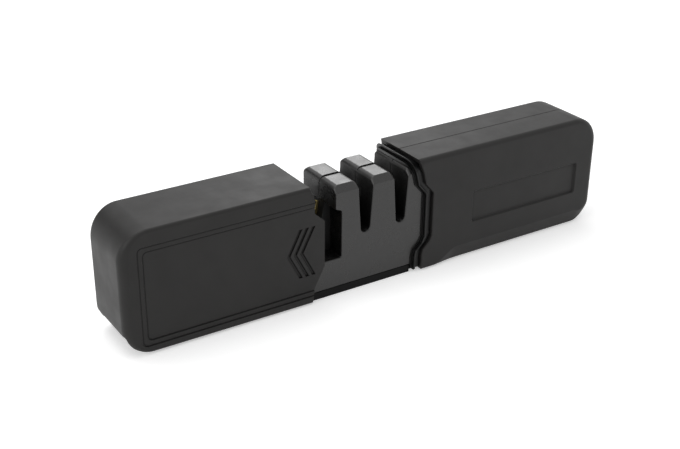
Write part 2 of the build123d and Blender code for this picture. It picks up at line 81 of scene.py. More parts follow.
class Flat(Enum):
    """Plane that an outline is drawn in; the third axis is its level."""

    SIDE = (0, 2, 1)
    PLAN = (0, 1, 2)
    SECTION = (1, 2, 0)


@dataclass(frozen=True)
class Datum:
    """Where the drawing datum lies in the frame, in millimetres."""

    shift: float = -31.95
    proud: float = 0.7
    scale: float = 0.001

    def place(self, points: np.ndarray) -> np.ndarray:
        """Turns drawing places into the frame's metres.

        Args:
            points: Rows of x, y and z in millimetres.

        Returns:
            The same rows in metres, in the frame.
        """
        return (points + np.array([self.shift, 0.0, self.proud])) * self.scale


@dataclass(frozen=True)
class Edge:
    """How a wall turns into a face: reach over the face, depth along the wall, flatness of the turn."""

    reach: float = 0.0
    depth: float = 0.0
    flat: float = 0.0

    def values(self) -> np.ndarray:
        """The three sizes as an array."""
        return np.array([self.reach, self.depth, self.flat])


@dataclass(frozen=True)
class Corner:
    """One corner of an outline, with its rounding and the edge of the run that starts at it."""

    u: float
    v: float
    radius: float = 0.0
    edge: Edge = Edge()
    parts: int = 6


class Outline:
    """Closed line through rounded corners, with the outward direction and edge sizes of every point."""

    def __init__(self, corners: Sequence[Corner], spacing: float = 0.0) -> None:
        """Samples the line.

        Args:
            corners: The corners, anticlockwise.
            spacing: Longest straight step between two points, or 0 for any length.
        """
        rows: list[np.ndarray] = []
        for index, corner in enumerate(corners):
            before = corners[index - 1]
            after = corners[(index + 1) % len(corners)]
            rows.extend(self._turn(before, corner, after))
        if spacing:
            rows = self._divide(rows, spacing)
        table = np.array(rows)
        self.places = table[:, 0:2]
        self.normals = table[:, 2:4]
        self.edges = table[:, 4:7]

    @staticmethod
    def _turn(before: Corner, corner: Corner, after: Corner) -> list[np.ndarray]:
        """Points of one corner.

        Args:
            before: The corner before it.
            corner: The corner itself.
            after: The corner after it.

        Returns:
            Rows of place, outward direction and edge sizes.
        """
        here = np.array([corner.u, corner.v])
        come = here - np.array([before.u, before.v])
        leave = np.array([after.u, after.v]) - here
        come /= np.linalg.norm(come)
        leave /= np.linalg.norm(leave)
        out = np.array([come[1], -come[0]])
        out_after = np.array([leave[1], -leave[0]])
        turn = math.atan2(come[0] * leave[1] - come[1] * leave[0], float(come @ leave))
        if corner.radius <= 0 or abs(turn) < 1e-3:
            miter = out + out_after
            miter /= float(miter @ out)
            return [np.concatenate([here, miter, corner.edge.values()])]
        sign = math.copysign(1.0, turn)
        start = here - come * corner.radius * math.tan(abs(turn) / 2)
        centre = start - sign * out * corner.radius
        rows = []
        for step in range(corner.parts + 1):
            share = step / corner.parts
            angle = turn * share
            cos, sin = math.cos(angle), math.sin(angle)
            spun = np.array([out[0] * cos - out[1] * sin, out[0] * sin + out[1] * cos])
            ease = share * share * (3 - 2 * share)
            edge = before.edge.values() * (1 - ease) + corner.edge.values() * ease
            rows.append(np.concatenate([centre + sign * spun * corner.radius, spun, edge]))
        return rows

    @staticmethod
    def _divide(rows: list[np.ndarray], spacing: float) -> list[np.ndarray]:
        """Adds points on long straight runs.

        Args:
            rows: Rows of place, outward direction and edge sizes.
            spacing: Longest straight step between two points.

        Returns:
            The rows with the added points in between.
        """
        dense = []
        for index, row in enumerate(rows):
            after = rows[(index + 1) % len(rows)]
            run = after[0:2] - row[0:2]
            length = float(np.linalg.norm(run))
            dense.append(row)
            parts = math.ceil(length / spacing)
            for step in range(1, parts):
                share = step / parts
                middle = row * (1 - share) + after * share
                middle[2:4] = np.array([run[1], -run[0]]) / length
                dense.append(middle)
        return dense

    def ring(self, level: float, inset: float = 0.0, plane: Flat = Flat.SIDE) -> np.ndarray:
        """The line at one level, drawn in by an inset.

        Args:
            level: Place along the axis that the plane leaves out.
            inset: Distance that the line is drawn in, or out where it is negative.
            plane: Plane that the line is drawn in.

        Returns:
            Rows of x, y and z in millimetres.
        """
        flat = self.places - self.normals * inset
        ring = np.full((len(flat), 3), float(level))
        ring[:, plane.value[0]] = flat[:, 0]
        ring[:, plane.value[1]] = flat[:, 1]
        return ring

    def edge_rings(self, half: float) -> list[np.ndarray]:
        """Rings of the edge between the front face and the wall, from the face inwards.

        Args:
            half: Distance from the middle plane to the front face.

        Returns:
            Rings of x, y and z in millimetres.
        """
        reach, depth, flat = self.edges.T
        rings = []
        for turn, slide in zip(np.linspace(math.pi / 2, 0, 7), (1.0, 0.97, 0.9, 0.5, 0.1, 0.03, 0.0)):
            across = (1 - flat) * (1 - math.cos(turn)) + flat * slide
            along = (1 - flat) * math.sin(turn) + flat * slide
            spot = self.places - self.normals * (reach * across)[:, None]
            level = -half + depth * (1 - along)
            rings.append(np.column_stack([spot[:, 0], level, spot[:, 1]]))
        rings[0][:, 1] = -half
        return rings


def mirrored(rings: Sequence[np.ndarray]) -> list[np.ndarray]:
    """The rings on the other side of the middle plane, in reverse order."""
    return [ring * np.array([1.0, -1.0, 1.0]) for ring in reversed(rings)]


def flipped(corners: Sequence[Corner], middle: float) -> list[Corner]:
    """The corners, followed by their mirror images about an upright line."""
    return [*corners, *(replace(corner, u=2 * middle - corner.u) for corner in reversed(corners))]


def rectangle(low: Pair, high: Pair, radii: Sequence[float] = (0.0,) * 4, parts: int = 6) -> Outline:
    """Outline between two places, with radii anticlockwise from the low one."""
    places = (low, (high[0], low[1]), high, (low[0], high[1]))
    return Outline([Corner(*place, radius, parts=parts) for place, radius in zip(places, radii)])


def linked(name: str, data: bpy.types.ID) -> bpy.types.Object:
    """New object of the scene that holds the data.

    Args:
        name: Name of the object.
        data: What the object holds.

    Returns:
        The object.
    """
    made = bpy.data.objects.new(name, data)
    bpy.context.scene.collection.objects.link(made)
    return made


def meshed(name: str, points: Sequence[Triple], faces: Sequence[tuple[int, ...]] = ()) -> bpy.types.Object:
    """New object of the scene with a mesh of points and faces.

    Args:
        name: Name of the object and its mesh.
        points: Places of the points, in metres.
        faces: Numbers of the points round each face.

    Returns:
        The object.
    """
    mesh = bpy.data.meshes.new(name)
    mesh.from_pydata(points, [], faces)
    return linked(name, mesh)


def square(reach: float) -> list[Triple]:
    """Corners of a level square about the origin."""
    return [(-reach, -reach, 0.0), (reach, -reach, 0.0), (reach, reach, 0.0), (-reach, reach, 0.0)]


class Solid:
    """A mesh under construction, made from rings and carved by other solids."""

    def __init__(self, name: str, rings: Sequence[np.ndarray], wrap: bool = False, placed: bool = True) -> None:
        """Builds the skin between the rings.

        Args:
            name: Name of the piece.
            rings: Rings with equal numbers of points.
            wrap: Joins the last ring to the first in place of two end faces.
            placed: Moves the drawing into the frame; otherwise it is only turned into metres.
        """
        points = np.concatenate(rings)
        points = DATUM.place(points) if placed else points * DATUM.scale
        count = len(rings[0])
        last = len(points) - count
        faces = []
        for low in range(0, len(points) if wrap else last, count):
            high = (low + count) % len(points)
            for here in range(count):
                there = (here + 1) % count
                faces.append((low + here, low + there, high + there, high + here))
        if not wrap:
            faces += [tuple(range(count)), tuple(range(last, len(points)))]
        self.object = meshed(name, points.tolist(), faces)
        self._clean()

    def _clean(self) -> None:
        """Merges doubled points and turns all faces outwards."""
        work = bmesh.new()
        work.from_mesh(self.object.data)
        bmesh.ops.remove_doubles(work, verts=work.verts, dist=MERGE_DISTANCE)
        bmesh.ops.dissolve_degenerate(work, edges=work.edges, dist=MERGE_DISTANCE)
        bmesh.ops.recalc_face_normals(work, faces=work.faces)
        work.to_mesh(self.object.data)
        work.free()

    def _bake(self) -> None:
        """Turns the mesh with its modifiers into a plain mesh."""
        graph = bpy.context.evaluated_depsgraph_get()
        shaped = self.object.evaluated_get(graph)
        mesh = bpy.data.meshes.new_from_object(shaped, preserve_all_data_layers=True, depsgraph=graph)
        old = self.object.data
        self.object.modifiers.clear()
        self.object.data = mesh
        mesh.name = self.object.name
        bpy.data.meshes.remove(old)

    def _combine(self, operation: str, others: Sequence["Solid"]) -> "Solid":
        """Applies exact booleans with other solids, which are used up.

        Args:
            operation: Name of the boolean operation.
            others: The other solids.

        Returns:
            This solid.
        """
        for other in others:
            step = self.object.modifiers.new(operation.lower(), "BOOLEAN")
            step.operation = operation
            step.solver = "EXACT"
            step.object = other.object
        self._bake()
        if not self.object.data.polygons:
            raise ValueError(f"{self.object.name}: nothing is left after {operation.lower()}")
        for other in others:
            bpy.data.objects.remove(other.object)
        return self

    def cut(self, *others: "Solid") -> "Solid":
        """Takes other solids away from this one."""
        return self._combine("DIFFERENCE", others)

    def add(self, *others: "Solid") -> "Solid":
        """Joins other solids to this one."""
        return self._combine("UNION", others)

    def dress(self, finish: "Finish", body: Body, *nodes: str) -> None:
        """Smooths the mesh, gives it its finish and ties it to the frame.

        Args:
            finish: Finish of the whole piece.
            body: Body that the piece rides on.
            *nodes: Frame nodes that the piece stands for.
        """
        self._clean()
        piece = self.object
        piece.data.shade_smooth()
        piece.data.set_sharp_from_angle(angle=CREASE_ANGLE)
        weigh = piece.modifiers.new("weigh", "WEIGHTED_NORMAL")
        weigh.keep_sharp = True
        weigh.weight = NORMAL_WEIGHT
        self._bake()
        piece.data.materials.clear()
        piece.data.materials.append(finish.material())
        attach(piece, body.value)
        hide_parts(*nodes)
        LOG.info("%s: %d faces on %s, stands for %s", piece.name, len(piece.data.polygons), body.value, nodes)


def block(name: str, low: Sequence[float], high: Sequence[float], corner: float = 0.0) -> Solid:
    """Block between two corners.

    Args:
        name: Name of the solid.
        low: Lowest x, y and z.
        high: Highest x, y and z.
        corner: Radius of the four corners in side view.

    Returns:
        The solid.
    """
    line = rectangle((low[0], low[2]), (high[0], high[2]), (corner,) * 4)
    return Solid(name, [line.ring(low[1]), line.ring(high[1])])


def turned(
    name: str,
    foot: Sequence[float],
    axis: Sequence[float],
    profile: Sequence[Pair],
    sides: int = 32,
    placed: bool = True,
) -> Solid:
    """Round solid turned about an axis.

    Args:
        name: Name of the solid.
        foot: Point where the axis starts.
        axis: Direction of the axis.
        profile: Pairs of distance along the axis and radius.
        sides: Number of sides of each circle.
        placed: Moves the drawing into the frame.

    Returns:
        The solid.
    """
    up = Vector(axis).normalized()
    across = up.orthogonal().normalized()
    beside = up.cross(across)
    angles = [2 * math.pi * index / sides for index in range(sides)]
    spokes = [across * math.cos(a) + beside * math.sin(a) for a in angles]
    rings = [
        np.array([Vector(foot) + up * along + spoke * radius for spoke in spokes]) for along, radius in profile
    ]
    return Solid(name, rings, placed=placed)


def bores(places: Sequence[Pair], start: float, mouth: Sequence[Pair], sides: int) -> list[Solid]:
    """Cutters of counterbores for screws.

    Args:
        places: X and Z of each screw.
        start: Place along Y where the narrow bore starts.
        mouth: Places along Y and radii of the head's bore above its seat.
        sides: Number of sides of each circle.

    Returns:
        The cutters.
    """
    profile = [(start, SCREW_BORE), (SCREW_SEAT, SCREW_BORE), (SCREW_SEAT, HEAD_BORE), *mouth]
    return [turned("bore", (x, 0.0, z), (0, 1, 0), profile, sides) for x, z in places]


class Graph:
    """Short hand for building a node tree."""

    def __init__(self, tree: bpy.types.NodeTree) -> None:
        """Empties the tree and keeps it."""
        self.tree = tree
        tree.nodes.clear()

    def node(self, kind: str, inputs: dict | None = None, **settings: object) -> bpy.types.Node:
        """Adds a node.

        Args:
            kind: Type name of the node.
            inputs: Values or source sockets by input name or number.
            **settings: Properties of the node.

        Returns:
            The node.
        """
        made = self.tree.nodes.new(kind)
        for name, value in settings.items():
            setattr(made, name, value)
        for name, value in (inputs or {}).items():
            socket = made.inputs[name]
            if isinstance(value, Socket):
                self.tree.links.new(value, socket)
            else:
                socket.default_value = value
        return made

    def math(self, operation: str, first: object, second: object = 0.0) -> Socket:
        """Result of a math node on two values or sockets."""
        return self.node("ShaderNodeMath", {0: first, 1: second}, operation=operation).outputs[0]

    def noise(self, place: Socket, scale: float, detail: float = 2.0) -> Socket:
        """Factor of a noise texture at a scale in waves per metre."""
        return self.node("ShaderNodeTexNoise", {"Vector": place, "Scale": scale, "Detail": detail}).outputs[0]

    def remap(self, value: object, low: float, high: float, start: float, end: float) -> Socket:
        """The value carried from one range to another."""
        inputs = {"Value": value, "From Min": low, "From Max": high, "To Min": start, "To Max": end}
        return self.node("ShaderNodeMapRange", inputs).outputs[0]

    def cloud(self, place: Socket, scale: float, detail: float, start: float = 0.0, end: float = 1.0) -> Socket:
        """Noise whose middle range is carried to another range."""
        return self.remap(self.noise(place, scale, detail), *NOISE_RANGE, start, end)

    def blend(self, share: object, first: object, second: object) -> Socket:
        """Colour between two colours."""
        return self.node("ShaderNodeMix", {0: share, 6: first, 7: second}, data_type="RGBA").outputs[2]


def grey(value: float) -> tuple[float, float, float, float]:
    """Neutral colour."""
    return (value, value, value, 1.0)


def shade(colour: Triple, level: float = 1.0) -> tuple[float, ...]:
    """The colour at a level, opaque."""
    return (*(part * level for part in colour), 1.0)


def coating(name: str) -> tuple[bpy.types.Material, Graph]:
    """New material with its emptied tree.

    Args:
        name: Name of the material.

    Returns:
        The material and its tree.
    """
    made = bpy.data.materials.new(name)
    made.use_nodes = True
    return made, Graph(made.node_tree)


@dataclass(frozen=True)
class Finish:
    """Common base of all finishes: a named material and the slot it fills."""

    slot: str

    def material(self) -> bpy.types.Material:
        """The material, made once.

        Returns:
            The material of this finish.
        """
        name = "finish_" + self.slot
        if name in bpy.data.materials:
            return bpy.data.materials[name]
        made, graph = coating(name)
        shader = self.shader(graph, graph.node("ShaderNodeTexCoord").outputs["Object"])
        graph.node("ShaderNodeOutputMaterial", {"Surface": shader.outputs[0]})
        return made

    def shader(self, graph: Graph, place: Socket) -> bpy.types.Node:
        """Builds the surface shader.

        Args:
            graph: Tree of the material.
            place: Place on the piece in metres.

        Returns:
            The shader node.
        """
        raise NotImplementedError


@dataclass(frozen=True)
class Moulded(Finish):
    """Moulded plastic or rubber with fine grain, faint mottling, a few specks of dust and painted shade darkening
    its hollows.
    """

    colour: Triple = (0.02, 0.02, 0.02)
    roughness: float = 0.5
    mottling: float = 0.2
    grain_scale: float = 5200.0
    grain_height: float = 0.00001
    speck_share: float = 0.0
    ior: float = 1.47
    # Painted shade: hollows found by ambient occlusion get a near-black colour, more roughness and metallic, so
    # they lose their reflection.
    painted_shade_reach: float = 0.0
    painted_shade_share: float = 0.0
    painted_shade_range: Pair = (0.5, 0.95)
    painted_shade_grey: float = 0.0008
    painted_shade_rough: float = 0.85
    cloud_scale: float = 38.0
    speck_scale: float = 150.0
    speck_size: float = 0.035
    speck_grey: float = 0.3
    rough_scale: float = 140.0
    rough_spread: float = 0.04

    def shader(self, graph: Graph, place: Socket) -> bpy.types.Node:
        """Builds the surface shader.

        Args:
            graph: Tree of the material.
            place: Place on the piece in metres.

        Returns:
            The shader node.
        """
        cloud = graph.cloud(place, self.cloud_scale, 4.0)
        colour = graph.blend(cloud, shade(self.colour, 1 - self.mottling), shade(self.colour, 1 + self.mottling))
        if self.speck_share:
            cells = graph.node("ShaderNodeTexVoronoi", {"Vector": place, "Scale": self.speck_scale}).outputs
            near = graph.math("LESS_THAN", cells["Distance"], self.speck_size)
            tint = graph.node("ShaderNodeSeparateColor", {"Color": cells["Color"]}).outputs[0]
            rare = graph.math("LESS_THAN", tint, self.speck_share)
            colour = graph.blend(graph.math("MULTIPLY", near, rare), colour, grey(self.speck_grey))
        grain = graph.noise(place, self.grain_scale, 3.0)
        low, high = self.roughness - self.rough_spread, self.roughness + self.rough_spread
        rough = graph.cloud(place, self.rough_scale, 3.0, low, high)
        bump = graph.node("ShaderNodeBump", {"Strength": 1.0, "Distance": self.grain_height, "Height": grain})
        inputs = {"Normal": bump.outputs[0], "IOR": self.ior}
        # Painted shade: where ambient occlusion finds a hollow, the colour is darkened towards a near-black grey,
        # made rougher and made metallic to take away its reflection.
        if self.painted_shade_reach:
            reach = {"Distance": self.painted_shade_reach}
            shut = graph.node("ShaderNodeAmbientOcclusion", reach, samples=8, only_local=True).outputs["AO"]
            share = graph.remap(shut, *self.painted_shade_range, self.painted_shade_share, 0.0)
            colour = graph.blend(share, colour, grey(self.painted_shade_grey))
            rough = graph.math("MAXIMUM", rough, graph.math("MULTIPLY", share, self.painted_shade_rough))
            inputs["Metallic"] = share
        inputs |= {"Base Color": colour, "Roughness": rough}
        return graph.node("ShaderNodeBsdfPrincipled", inputs)


@dataclass(frozen=True)
class Ground(Finish):
    """Ground hard metal or ceramic with fine lines along the grinding."""

    colour: Triple = (0.5, 0.5, 0.5)
    metallic: float = 1.0
    roughness: float = 0.3
    line_scale: float = 2600.0
    line_height: float = 0.000006
    stretch: float = 0.03
    cloud_scale: float = 160.0
    dark_share: float = 0.86
    rough_spread: Pair = (0.05, 0.08)

    def shader(self, graph: Graph, place: Socket) -> bpy.types.Node:
        """Builds the surface shader.

        Args:
            graph: Tree of the material.
            place: Place on the piece in metres.

        Returns:
            The shader node.
        """
        drawn = graph.node("ShaderNodeMapping", {"Vector": place, "Scale": (1.0, self.stretch, 1.0)}).outputs[0]
        lines = graph.noise(drawn, self.line_scale, 2.0)
        cloud = graph.cloud(place, self.cloud_scale, 3.0)
        colour = graph.blend(cloud, shade(self.colour, self.dark_share), shade(self.colour))
        low, high = self.roughness - self.rough_spread[0], self.roughness + self.rough_spread[1]
        rough = graph.remap(lines, *NOISE_RANGE, low, high)
        bump = graph.node("ShaderNodeBump", {"Strength": 1.0, "Distance": self.line_height, "Height": lines})
        inputs = {"Base Color": colour, "Metallic": self.metallic, "Roughness": rough, "Normal": bump.outputs[0]}
        return graph.node("ShaderNodeBsdfPrincipled", inputs)


@dataclass(frozen=True)
class Palette:
    """Every finish of the sharpener."""

    # Shell, core and collar carry painted shade in their hollows: slot interiors, grooves, panel steps and arrows.
    shell: Finish = Moulded(
        "soft_shell", (0.0138, 0.0131, 0.0126), 0.47, 0.14, grain_height=0.000012,
        speck_share=0.07, ior=1.34, painted_shade_reach=0.0016, painted_shade_share=0.62,
    )
    core: Finish = Moulded(
        "core_plastic", (0.0145, 0.0140, 0.0136), 0.28, 0.10, 3600.0, 0.000004,
        ior=1.52, painted_shade_reach=0.03, painted_shade_share=0.93, painted_shade_range=(0.48, 0.88),
    )
    collar: Finish = Moulded(
        "collar_rubber", (0.004, 0.004, 0.004), 0.30, 0.15, 3000.0, 0.000005,
        ior=1.36, painted_shade_reach=0.003, painted_shade_share=0.95,
    )
    sole: Finish = Moulded("pad_rubber", (0.004, 0.004, 0.004), 0.36, 0.15, 2800.0, 0.000006, ior=1.2)
    carrier: Finish = Moulded("carrier_plastic", (0.008, 0.008, 0.008), 0.5, 0.15, 3600.0, 0.000006, ior=1.3)
    gold: Finish = Ground("gold_coating", (0.34, 0.27, 0.11), 1.0, 0.32)
    carbide: Finish = Ground("carbide", (0.30, 0.30, 0.31), 1.0, 0.30)
    ceramic: Finish = Ground("ceramic", (0.62, 0.60, 0.56), 0.0, 0.55, 5200.0, 0.000004, 1.0)
    steel: Finish = Ground("steel", (0.48, 0.48, 0.50), 1.0, 0.28, 1800.0, 0.000003, 1.0)


class Stepping:
    """Geometry Nodes tree that sets one piece on every point of a mesh, each with its own turn."""

    def __init__(self) -> None:
        """Builds the tree."""
        self.tree = bpy.data.node_groups.new("set_on_points", "GeometryNodeTree")
        kinds = {"Points": "Geometry", "Piece": "Object", "Finish": "Material"}
        kinds |= {"Largest Turn": "Float", "Seed": "Int"}
        add = self.tree.interface.new_socket
        self.sockets = {
            name: add(name=name, in_out="INPUT", socket_type=f"NodeSocket{kind}").identifier
            for name, kind in kinds.items()
        }
        add(name="Set", in_out="OUTPUT", socket_type="NodeSocketGeometry")
        graph = Graph(self.tree)
        given = graph.node("NodeGroupInput").outputs
        piece = graph.node("GeometryNodeObjectInfo", {"Object": given["Piece"]}).outputs["Geometry"]
        spin = graph.node("FunctionNodeRandomValue", {"Seed": given["Seed"]}, data_type="FLOAT")
        graph.tree.links.new(given["Largest Turn"], spin.inputs[3])
        angles = graph.node("ShaderNodeCombineXYZ", {"Y": spin.outputs[1]}).outputs[0]
        rotation = graph.node("FunctionNodeEulerToRotation", {0: angles}).outputs[0]
        inputs = {"Points": given["Points"], "Instance": piece, "Rotation": rotation}
        placed = graph.node("GeometryNodeInstanceOnPoints", inputs).outputs[0]
        real = graph.node("GeometryNodeRealizeInstances", {0: placed}).outputs[0]
        coated = graph.node("GeometryNodeSetMaterial", {"Geometry": real, "Material": given["Finish"]}).outputs[0]
        graph.node("NodeGroupOutput", {0: coated})

    def lay(
        self,
        name: str,
        piece: Solid,
        places: Sequence[Sequence[float]],
        finish: Finish,
        largest_turn: float = 0.0,
        seed: int = 1,
    ) -> Solid:
        """Copies a piece, drawn about the origin, to several places as one mesh.

        Args:
            name: Name of the new solid.
            piece: The piece to copy, which is used up.
            places: Places in the drawing, in millimetres.
            finish: Finish of the copies.
            largest_turn: Largest turn about Y, in radians.
            seed: Seed of the turns.

        Returns:
            The solid that holds all copies.
        """
        holder = meshed(name, DATUM.place(np.array(places, float)).tolist())
        modifier = holder.modifiers.new("set", "NODES")
        modifier.node_group = self.tree
        values = {"Piece": piece.object, "Finish": finish.material(), "Largest Turn": largest_turn, "Seed": seed}
        for key, value in values.items():
            modifier[self.sockets[key]] = value
        made = Solid.__new__(Solid)
        made.object = holder
        made._bake()
        bpy.data.objects.remove(piece.object)
        return made


@dataclass
class Cover:
    """Sliding cover: hollow shell with a stepped panel and three arrows on each face."""

    length: float = 71.4
    height: float = 45.6
    half: float = 13.4
    wall: float = 1.4
    roof: float = 1.8
    top_radius: float = 10.8
    foot_radius: float = 10.0
    inner_radius: float = 9.0
    end_lift: float = 7.7
    end_edge: Edge = Edge(3.2, 3.2)
    roof_edge: Edge = Edge(1.2, 1.2)
    foot_edge: Edge = Edge(1.0, 1.0)
    mouth_edge: Edge = Edge(0.4, 0.4)
    mouth_round: float = 0.9
    panel_margins: Triple = (6.1, 5.8, 2.6)
    panel_step: float = 1.9
    panel_depth: float = 0.3
    panel_foot: float = 0.12
    panel_corner: float = 2.0
    arrow_tips: tuple[float, ...] = (-9.4, -6.75, -4.1)
    arrow_level: float = 20.8
    arrow_rise: float = 9.6
    arrow_run: float = 5.0
    arrow_width: float = 1.3
    arrow_depth: float = 0.6
    rib_level: float = 22.8
    rib_gap: float = 1.8
    rib_width: float = 1.3
    rib_inner: float = 11.6
    stop_place: float = -3.3
    stop_length: float = 2.0
    guide_inset: float = 3.0
    guide_end: float = -1.3
    sink: float = 0.1
    notch_radius: float = 1.2
    notch_reach: float = 2.0
    below: float = -4.0
    beyond: float = 12.0
    spacing: float = 8.0
    mouth_line: tuple[Pair, ...] = ((1.0, 0.0), (1.9, 5.5), (6.1, 13.5), (6.1, 31.4), (2.0, 35.1), (1.9, 40.5))

    def body(self) -> Solid:
        """Outer form with its rounded edges.

        Returns:
            The solid.
        """
        edge = self.mouth_edge
        corners = [Corner(-self.length, 0.0, self.foot_radius, self.foot_edge, 16)]
        corners.append(Corner(*self.mouth_line[0], 0.0, edge))
        corners += [Corner(u, v, self.mouth_round, edge, 4) for u, v in self.mouth_line[1:]]
        corners.append(Corner(0.0, self.height, 0.0, self.roof_edge))
        corners.append(Corner(-self.length, self.height, self.top_radius, self.end_edge, 20))
        front = Outline(corners, self.spacing).edge_rings(self.half)
        return Solid("cover_shell", front + mirrored(front))

    def hollow(self) -> list[Solid]:
        """Hollow that is open below and at the mouth, and the notch under the end wall.

        Returns:
            The cutters.
        """
        left = -self.length + self.wall
        inner = self.half - self.wall
        radii = (0.0, 0.0, 0.0, self.inner_radius)
        line = rectangle((left, self.below), (self.beyond, self.height - self.roof), radii, 14)
        radii = (0.0, 0.0, self.notch_radius, self.notch_radius)
        notch = rectangle((-inner, self.below), (inner, self.end_lift), radii)
        ends = (-self.length + self.below, left + self.notch_reach)
        return [
            Solid("hollow", [line.ring(-inner), line.ring(inner)]),
            Solid("notch", [notch.ring(x, 0.0, Flat.SECTION) for x in ends]),
        ]

    def sunk(self, name: str, line: Outline, floor: float, depth: float, side: Side, foot: float = 0.0) -> Solid:
        """Cutter with soft upper and lower edges for a sunk form in a face.

        Args:
            name: Name of the cutter.
            line: Outline of the form.
            floor: Distance of the face from the middle plane.
            depth: Depth of the form below that face.
            side: Front or back face.
            foot: Depth of a narrow groove along the foot of the form's wall.

        Returns:
            The cutter.
        """
        # Each step is an inset and a depth, from outside the face to the floor of the form.
        steps = [(-0.16, -1.0), (-0.16, 0.0), (-0.06, 0.04), (0.0, 0.13)]
        if foot:
            steps += [(0.05, depth), (0.1, depth + foot), (0.42, depth + foot), (0.52, depth + 0.03), (0.6, depth)]
        else:
            steps += [(0.05, depth - 0.1), (0.1, depth - 0.03), (0.2, depth)]
        return Solid(name, [line.ring(side.value * (floor - down), inset) for inset, down in steps])

    def panel(self, step: int, side: Side) -> Solid:
        """Cutter of one panel step, open at the mouth.

        Args:
            step: 0 for the outer step, 1 for the inner one.
            side: Front or back face.

        Returns:
            The cutter.
        """
        left, top, foot = (margin + step * self.panel_step for margin in self.panel_margins)
        corner = self.panel_corner
        low, high = (-self.length + left, foot), (self.beyond, self.height - top)
        line = rectangle(low, high, (corner, 0.0, 0.0, corner))
        floor = self.half - step * self.panel_depth
        return self.sunk("panel", line, floor, self.panel_depth, side, self.panel_foot)

    def arrows(self, side: Side) -> list[Solid]:
        """Cutters of the engraved arrows on one face.

        Args:
            side: Front or back face.

        Returns:
            The cutters.
        """
        made = []
        run, rise, wide = self.arrow_run, self.arrow_rise, self.arrow_width
        bends = ((0.0, 0.0), (run, -rise), (run + wide, -rise), (wide, 0.0), (run + wide, rise), (run, rise))
        for tip in self.arrow_tips:
            line = Outline([Corner(tip + u, self.arrow_level + v) for u, v in bends])
            made.append(self.sunk("arrow", line, self.half - 2 * self.panel_depth, self.arrow_depth, side))
        return made

    def guides(self, side: Side) -> list[Solid]:
        """Guide ribs and stop on one inner wall.

        Args:
            side: Front or back wall.

        Returns:
            Two ribs and the stop.
        """
        left, right = -self.length + self.wall + self.guide_inset, self.guide_end
        near, far = sorted((side.value * (self.half - self.wall + self.sink), side.value * self.rib_inner))
        low, high = self.rib_level - self.rib_gap, self.rib_level + self.rib_gap
        stop = self.stop_place
        return [
            block("guide", (left, near, low - self.rib_width), (right, far, low)),
            block("guide", (left, near, high), (right, far, high + self.rib_width)),
            block("stop", (stop, near, low - self.sink), (stop + self.stop_length, far, high + self.sink)),
        ]

    def build(self, palette: Palette) -> None:
        """Makes the shell and dresses it.

        Args:
            palette: Finishes of all pieces.
        """
        shell = self.body()
        shell.cut(*self.hollow())
        for side in Side:
            shell.cut(self.panel(0, side))
            shell.cut(self.panel(1, side))
            shell.cut(*self.arrows(side))
            shell.add(*self.guides(side))
        shell.dress(palette.shell, Body.COVER, "cover_shell")


